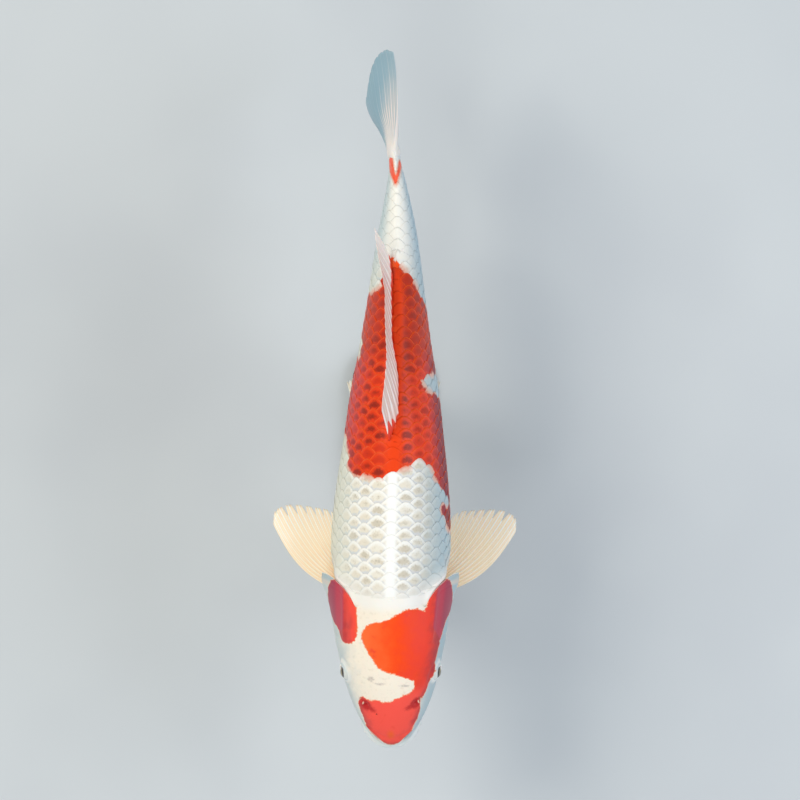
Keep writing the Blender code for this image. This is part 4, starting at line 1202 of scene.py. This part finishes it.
def pelvic_place(hand):
    """Middle surface of a pelvic fin under the belly."""
    side = SIDES[hand]

    def place(f, t):
        root = flesh(262 + 13 * f, on_side(side, np.radians(-62 - 9 * f)))
        angle, drop = np.radians(17 - 13 * f), np.radians(24 - 4 * f)
        reach = 60 - 4 * f - 20 * f ** 3
        away = np.stack([side * np.sin(angle), np.cos(angle) * np.cos(drop), -np.sin(drop)], -1)
        bow = np.sin(math.pi * t)[..., None] * [side, 0.0, -1.4]
        return root + away * (reach * t)[..., None] + bow
    return place


# share along the back fin -> length of its rays and how steeply they stand (degrees)
DORSAL_LENGTH = profile([(0, 36), (0.05, 44), (0.15, 45), (0.4, 36), (0.75, 28), (1, 27)])
DORSAL_RISE = profile([(0, 44), (0.15, 38), (0.6, 30), (1, 21)])
# share of the fin's free edge from its front -> place beside the middle line
DORSAL_EDGE = [(0, -8.6), (0.07, -6.8), (0.17, -5.2), (0.25, -4.5), (0.36, -5.3), (0.5, -6), (0.65, -6),
               (0.75, -8.5), (0.85, -12), (0.93, -14), (1, -15)]


def dorsal_place(f, t):
    """Middle surface of the half-lowered back fin, leaning to the fish's right."""
    s = DORSAL_START + (DORSAL_END - DORSAL_START) * f
    up, run = np.radians(DORSAL_RISE(f)), DORSAL_LENGTH(f) * t
    foot, edge = at_knots(DORSAL_FOOT, f), at_knots(DORSAL_EDGE, f)
    return np.stack([foot + (edge - foot) * t ** 1.2, SNOUT_Y + s + run * np.cos(up),
                     back(s) - 0.8 + run * np.sin(up)], -1)


def dorsal_look(f, t, ray):
    """The fin's foot is red, reaching up between the rays in front and behind."""
    limit = 0.34 * smooth(0.13, 0.0, f) + 0.03 + 0.13 * smooth(0.36, 0.46, f)
    return {"red": (limit - 0.22 * (ray - 0.4) * smooth(0.2, 0, f) - t) * 30}


def anal_place(f, t):
    """Middle surface of the short fin under the tail."""
    s = 392.0 + 28.0 * f
    down, reach = np.radians(50 - 16 * f), 47 - 22 * f
    return np.stack([spine_x(s) - 3.0 * t * t, SNOUT_Y + s + reach * t * np.cos(down),
                     belly(s) + 0.8 - reach * t * np.sin(down)], -1)


# share of the half height -> end of the tail fin; place behind the snout -> how far its middle ray
# leans to the right, sideways place of its outer rays, and thickness
TAIL_TIP = profile([(0, 552), (0.25, 560), (0.42, 570), (0.52, 578), (0.62, 585.5), (0.72, 591.5),
                    (0.84, 596), (0.92, 597.5), (1, 595)])
TAIL_LEAN = profile([(505, 0), (511, 0.1), (514, 0.6), (517, 2.5), (524.5, 8), (533, 14.5), (540, 20.5),
                     (548.6, 25), (557, 27.5), (574, 30.5), (600, 33)])
TAIL_EDGE_X = profile([(500, 2.4), (505, 2.2), (513, 1.6), (519, 2.9), (530, 4.4), (540, 5.0), (566, 4.6),
                       (588, 2.8), (600, 0.2)])
TAIL_THICKNESS = [(505, 7.6), (509, 10.6), (513, 11.0), (517, 9.8), (524.5, 7), (533, 4.4), (540, 2.6),
                  (548, 1.6), (560, 0.9), (600, 0.5)]
TAIL_ROOT_HALF, TAIL_HALF_SPAN = 27.2, 75.0
# share of the way out -> share of the half height from which the tail fin is rosy
ROSY_FROM = [(0.1, 0.0), (0.2, 0.28), (0.35, 0.58), (0.52, 0.75), (0.7, 0.84), (0.85, 0.92), (1.0, 1.0)]


def tail_place(f, t):
    """Middle surface of the forked tail fin, cupped to the fish's right."""
    level = 2 * f - 1
    start = FLESH_END - 8.0
    s = start + (TAIL_TIP(np.abs(level)) - start) * t
    widening = np.clip((s - FLESH_END) / 86.0, 0, 2) ** 0.9
    spread = TAIL_ROOT_HALF - 1.5 * smooth(509, 505, s) + (TAIL_HALF_SPAN - TAIL_ROOT_HALF) * widening
    return np.stack([TAIL_EDGE_X(s) - TAIL_LEAN(s) * (1 - level * level), SNOUT_Y + s, level * spread], -1)


def tail_thickness(middle, f):
    """Fleshy and rounded at the root like the stalk, thinning to the web."""
    s, level = middle[..., 1] - SNOUT_Y, 2 * f - 1
    rounded = smooth(540, 514, s)
    return at_knots(TAIL_THICKNESS, s) * (1 - rounded + rounded * np.sqrt(1 - (0.95 * level) ** 2))


def tail_look(f, t, ray):
    """Rosy flesh spreads up the fin's upper and lower edge rays and fades out in the web."""
    level = np.abs(2 * f - 1) + 0.2 * (ray - 0.5)
    inner = at_knots(ROSY_FROM, t)
    rosy = smooth(inner - 0.3, inner + 0.2, level) * (1 - 0.6 * smooth(0.4, 0.95, t))
    return {"warm": rosy + smooth(0.22, 0.06, t)}


def build_paired_fins():
    """Pectoral and pelvic fins, one of each on either side."""
    for hand in SIDES:
        fin_piece("fin_pectoral_" + hand, pectoral_place(hand), bundles=9, fine=17, twins=2,
                  scalloped_from=0.2, root_thick=2.6, rib=0.6, notch=0.11)
        fin_piece("fin_pelvic_" + hand, pelvic_place(hand), bundles=8, fine=11, steps=36, root_thick=2.2,
                  notch=0.07)


def build_middle_fins():
    """The back fin, the fin under the tail and the tail fin."""
    fin_piece("fin_dorsal", dorsal_place, bundles=20, fine=9, steps=32, root_thick=2.2, rib=0.55,
              scalloped_from=0.1, look=dorsal_look)
    fin_piece("fin_anal", anal_place, bundles=7, fine=11, steps=32, notch=0.07)
    fin_piece("fin_tail", tail_place, bundles=20, fine=9, steps=64, rib=0.6, notch=0.012, twins=2,
              thickness=tail_thickness, look=tail_look)


# ------------------------------------------------------------------ eyes and barbels
EYE_RINGS, EYE_COLUMNS = 44, 64
EYE_PLAY = 0.15            # the finished ball is this much smaller than its frame
FEELER_RINGS, FEELER_COLUMNS = 40, 16
# place behind the snout, turn (degrees), length and root radius of each pair
FEELERS = {"lip": (13.0, -14.0, 11.0, 1.1), "corner": (19.5, -20.0, 17.0, 1.4)}
# what the skin's material reads on a feeler: no marking, pit or edge near
FEELER_LOOK = {"red": -20.0, "up": 0.5, "eye_away": 50.0, "lip": 0.3, "pit": 0.0, "hollow": 0.0,
               "hem": FAR_BACK, "slit": 0.0, "plate": -10.0, "smudge": 0.0, "glow": 0.0, "dot": 20.0,
               "nape": -50.0, "flap": 0.0, "fold": 0.0}


def build_eyes():
    """Eyeballs with a raised cornea, turned on a lathe profile about their outward axis."""
    material = eye_material()
    off = np.linspace(0, math.pi, EYE_RINGS + 2)[1:-1]
    cornea = 0.32 * smooth(math.radians(34), math.radians(12), off) - 0.18 * bell(np.degrees(off) - 37, 3)
    radius = EYE_RADIUS - EYE_PLAY + cornea
    for hand, side in SIDES.items():
        centre = np.mean(EYE_BOX[hand], axis=0) / MM - [0, 0, AXIS_Z]
        axis = unit(np.array([side, -0.10, 0.10]))
        line = centre + (radius * np.cos(off))[:, None] * axis
        grid = rings(line, axis, [0, 0, 1.0], radius * np.sin(off), EYE_COLUMNS)
        values = {"off": np.append(np.repeat(np.degrees(off), EYE_COLUMNS), [0, 180])}
        tube = capped_tube(grid, centre + axis * radius[0], centre - axis * radius[-1])
        ball = make_mesh("eyeball_" + hand, *tube, material, values)
        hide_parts("eye_" + hand)


def eye_material():
    """A living eye: clear wet cornea over a dark pupil and a silvered, brown-flecked iris.

    The cornea gives one hard highlight, the iris a metallic pale ring round the black.
    """
    material, tree, shader = new_material("wet_cornea_over_iris")
    got = carried(tree, "off")
    flecks, cells = grain(tree, 0.9, 4.0), grain(tree, 0.4, 2.0)
    angle = shifted(tree, got["off"], cells, 2.0)
    # by degrees off the eye's axis: gold inner ring, dark outer iris, white of the eye, then the pupil
    colour = layered(tree, "#4A4238", [
        (flecks, 0.48, 0.64, "#8C7C5C"),
        (angle, 22.5, 19.5, "#D0C090"),
        (angle, 27.0, 33.0, "#2E2F33"),
        (angle, 36.5, 42.0, "#DADCD6"),
        (angle, 18.5, 16.5, "#050506"),
    ])
    finished(tree, shader, colour, {
        "Roughness": 0.12, "IOR": 1.376, "Coat Weight": 1.0, "Coat Roughness": 0.02})
    bumped(tree, shader, flecks, 0.03)
    return material


def build_barbels(settings):
    """Two pairs of soft feelers, tapering and slightly ringed."""
    t = np.linspace(0, 1, FEELER_RINGS)
    for kind, (s, turn, length, thick) in FEELERS.items():
        radius = thick * (1 - 0.62 * t ** 0.8) * (1 + 0.05 * np.sin(t * 70))
        radius = radius * np.sqrt(np.clip((1.002 - t) / 0.06, 0.02, 1))
        # out through the lip from a root inside the flesh, then down and back
        stand = (thick + 0.65) * smooth(-0.1, 0.12, t) - 1.2 * (1 - smooth(0, 0.1, t))
        for hand, side in SIDES.items():
            root = flesh(s, on_side(side, math.radians(turn)))
            hang = np.stack([side * 1.4 * np.sin(1.6 * t), 0.16 * length * t * t,
                             -0.9 * length * t ** 1.5], -1)
            line = root + stand[:, None] * [side * 0.55, -0.30, -0.78] + hang
            grid = rings(line, unit(np.gradient(line, axis=0)), [0.0, 1.0, 0.02], radius, FEELER_COLUMNS)
            points, faces = capped_tube(grid, line[0], line[-1])
            values = {key: np.full(len(points), value)
                      for key, value in {**FEELER_LOOK, "along": s, "side": side * 0.8}.items()}
            feeler = make_mesh("feeler_%s_%s" % (kind, hand), points, faces, skin_material(settings), values)
            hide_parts("barbel_%s_%s" % (kind, hand))


# ------------------------------------------------------------------ stand
def finish_stand(settings):
    """Materials for the stand's base and rods, which keep their frame shapes."""
    coated, tree, shader = new_material("satin_black_powder_coat")
    # powder coat on steel: low gloss with a fine orange-peel ripple about 1.5 mm across
    tone = layered(tree, (*settings.base_colour, 1.0), [(grain(tree, 12.0, 3.0), 0.4, 0.7, "#26272A")])
    finished(tree, shader, tone, {"Roughness": 0.42, "IOR": 1.5})
    bumped(tree, shader, grain(tree, 1.5, 2.0), 0.03)
    steel, tree, shader = new_material("brushed_stainless_rod")
    # drawn and brushed rod: fine lines round it 0.3 mm apart give a streaked satin glint
    lines = grain(tree, 0.3, 2.0, stretch=(0.05, 0.05, 1.0))
    tone = layered(tree, "#A7A9AC", [(lines, 0.35, 0.7, "#8B8D91")])
    finished(tree, shader, tone, {"Metallic": 1.0, "Roughness": 0.28})
    bumped(tree, shader, lines, 0.01)
    for node, finish in (("stand_base", coated), ("stand_rod_front", steel), ("stand_rod_rear", steel)):
        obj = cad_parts[node]
        if not obj.material_slots:
            obj.data.materials.append(finish)
        for slot in obj.material_slots:
            slot.material = finish


# ------------------------------------------------------------------ stage (metres)
FLOOR_HALF = 6.0
LAMP_AIM = 0.05                            # place of the fish's middle along +Y
SKY_STRENGTH = 0.5
CAMERA_OVER = (0.0069, 0.0689)             # the point of the fish that the camera is straight above
VIEW_WIDTH = 0.6888                        # width of the picture at the body axis
LENS_MM, SENSOR_MM, CLEAR_TO = 350.0, 36.0, 30.0
LAMPS = {     # place, width, watts, colour, and whether it shows as a glint on wet surfaces
    "key_light": ((-1.6, 0.8, 2.1), 1.3, 34, "#FFF8EC", True),
    "cool_fill": ((1.9, 0.0, 1.4), 1.5, 22, "#EEF3FF", True),
    "front_light": ((-0.5, -1.6, 2.2), 1.2, 15, "#FFFFFF", False),
}


def lay_floor():
    """Rolled background paper: matt, with faint broad clouding."""
    mesh = bpy.data.meshes.new("floor")
    corners = [(x * FLOOR_HALF, y * FLOOR_HALF, 0) for x, y in ((-1, -1), (1, -1), (1, 1), (-1, 1))]
    mesh.from_pydata(corners, [], [(0, 1, 2, 3)])
    material, tree, shader = new_material("matt_paper_backdrop")
    tone = layered(tree, "#CBD0D2", [(grain(tree, 120.0, 2.0), 0.35, 0.7, "#C5CACD")])
    finished(tree, shader, tone, {"Roughness": 0.9})
    mesh.materials.append(material)
    floor = bpy.data.objects.new("floor", mesh)
    bpy.context.scene.collection.objects.link(floor)


def hang_lamp(name, place, size, watts, colour, glints):
    """Round soft lamp aimed at the middle of the fish."""
    data = bpy.data.lights.new(name, "AREA")
    data.shape, data.size, data.energy = "DISK", size, watts
    data.color = linear(colour)[:3]
    lamp = bpy.data.objects.new(name, data)
    lamp.location = place
    aim = Vector((0, LAMP_AIM, AXIS_Z * MM))
    lamp.rotation_euler = (aim - Vector(place)).to_track_quat("-Z", "Y").to_euler()
    lamp.visible_glossy = glints
    bpy.context.scene.collection.objects.link(lamp)


def build_stage(settings):
    """Pale floor, soft studio light and a long-lens camera straight above the back."""
    scene = bpy.context.scene
    lay_floor()
    for name, (place, size, watts, colour, glints) in LAMPS.items():
        hang_lamp(name, place, size, watts * settings.light_power, colour, glints)
    scene.world = scene.world or bpy.data.worlds.new("studio")
    scene.world.use_nodes = True
    nodes = scene.world.node_tree.nodes
    sky = nodes.get("Background") or nodes.new("ShaderNodeBackground")
    sky.inputs[0].default_value = linear("#E6EEF4")
    sky.inputs[1].default_value = SKY_STRENGTH
    scene.view_settings.view_transform = "Standard"
    data = bpy.data.cameras.new("camera")
    data.lens, data.sensor_width, data.clip_end = LENS_MM, SENSOR_MM, CLEAR_TO
    camera = bpy.data.objects.new("camera", data)
    camera.location = (*CAMERA_OVER, AXIS_Z * MM + LENS_MM / SENSOR_MM * VIEW_WIDTH)
    scene.collection.objects.link(camera)
    scene.camera = camera


# ------------------------------------------------------------------ add-on
class KoiSkinSettings(PropertyGroup):
    head_red: FloatVectorProperty(name="Head red", description="Red of the markings on the head",
                                  subtype="COLOR", default=linear("#FF4D0C")[:3], min=0, max=1)
    body_red: FloatVectorProperty(name="Body red", description="Red of the edges of the marked scales",
                                  subtype="COLOR", default=linear("#EE4210")[:3], min=0, max=1)
    scale_size: FloatProperty(name="Scale size", description="Length of a scale's open part against life",
                              default=1.0, min=0.8, max=1.3, subtype="FACTOR")
    scale_lift: FloatProperty(name="Scale lift", description="Height of a scale's free edge, in millimetres",
                              default=0.55, min=0.4, max=1.4)


class KoiStandSettings(PropertyGroup):
    base_colour: FloatVectorProperty(name="Base colour", description="Colour of the stand's coated base",
                                     subtype="COLOR", default=linear("#1E1F21")[:3], min=0, max=1)


class KoiStageSettings(PropertyGroup):
    light_power: FloatProperty(name="Light", description="Strength of the studio lights",
                               default=1.0, min=0.1, max=4.0, subtype="FACTOR")


class KOI_OT_skin(Operator):
    """Build the one skin over head, gill covers and trunk"""
    bl_idname = "koi.build_skin"
    bl_label = "Build skin"

    def execute(self, context):
        build_skin(context.scene.koi_skin)
        return {"FINISHED"}


class KOI_OT_scales(Operator):
    """Lay the four coats of scales"""
    bl_idname = "koi.build_scales"
    bl_label = "Lay scales"

    def execute(self, context):
        if len(build_scales(context.scene.koi_skin)) != 4:
            raise RuntimeError("the scale coat must come in four pieces")
        return {"FINISHED"}


class KOI_OT_eyes(Operator):
    """Turn the two eyeballs"""
    bl_idname = "koi.build_eyes"
    bl_label = "Build eyes"

    def execute(self, context):
        build_eyes()
        return {"FINISHED"}


class KOI_OT_barbels(Operator):
    """Build the four feelers at the mouth"""
    bl_idname = "koi.build_barbels"
    bl_label = "Build barbels"

    def execute(self, context):
        build_barbels(context.scene.koi_skin)
        return {"FINISHED"}


class KOI_OT_paired_fins(Operator):
    """Build the pectoral and pelvic fins"""
    bl_idname = "koi.build_paired_fins"
    bl_label = "Build paired fins"

    def execute(self, context):
        build_paired_fins()
        return {"FINISHED"}


class KOI_OT_middle_fins(Operator):
    """Build the back fin, the fin under the tail and the tail fin"""
    bl_idname = "koi.build_middle_fins"
    bl_label = "Build middle fins"

    def execute(self, context):
        build_middle_fins()
        return {"FINISHED"}


class KOI_OT_stand(Operator):
    """Give the stand's base and rods their finishes"""
    bl_idname = "koi.finish_stand"
    bl_label = "Finish stand"

    def execute(self, context):
        finish_stand(context.scene.koi_stand)
        return {"FINISHED"}


class KOI_OT_stage(Operator):
    """Set up the floor, the lights and the camera"""
    bl_idname = "koi.build_stage"
    bl_label = "Build stage"

    def execute(self, context):
        build_stage(context.scene.koi_stage)
        return {"FINISHED"}


OPERATORS = (KOI_OT_skin, KOI_OT_scales, KOI_OT_eyes, KOI_OT_barbels, KOI_OT_paired_fins,
             KOI_OT_middle_fins, KOI_OT_stand, KOI_OT_stage)


class KOI_PT_panel(Panel):
    """Sizes, colours and building steps of the koi"""
    bl_idname = "KOI_PT_panel"
    bl_label = "Koi carp"
    bl_space_type = "VIEW_3D"
    bl_region_type = "UI"
    bl_category = "Koi"

    def draw(self, context):
        for group in (context.scene.koi_skin, context.scene.koi_stand, context.scene.koi_stage):
            for key in group.__annotations__:
                self.layout.prop(group, key)
        for operator in OPERATORS:
            self.layout.operator(operator.bl_idname)


GROUPS = {"koi_skin": KoiSkinSettings, "koi_stand": KoiStandSettings, "koi_stage": KoiStageSettings}


def register():
    """Make the settings, the operators and the panel known to Blender."""
    for kind in (*GROUPS.values(), *OPERATORS, KOI_PT_panel):
        bpy.utils.register_class(kind)
    for key, group in GROUPS.items():
        setattr(bpy.types.Scene, key, PointerProperty(type=group))


def unregister():
    """Take back what register made known."""
    for key in GROUPS:
        delattr(bpy.types.Scene, key)
    for kind in reversed((*GROUPS.values(), *OPERATORS, KOI_PT_panel)):
        bpy.utils.unregister_class(kind)


def main():
    """Build every piece and the stage."""
    register()
    bpy.ops.koi.build_skin()
    bpy.ops.koi.build_scales()
    bpy.ops.koi.build_eyes()
    bpy.ops.koi.build_barbels()
    bpy.ops.koi.build_paired_fins()
    bpy.ops.koi.build_middle_fins()
    bpy.ops.koi.finish_stand()
    bpy.ops.koi.build_stage()
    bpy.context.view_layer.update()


if __name__ == "__main__":
    main()
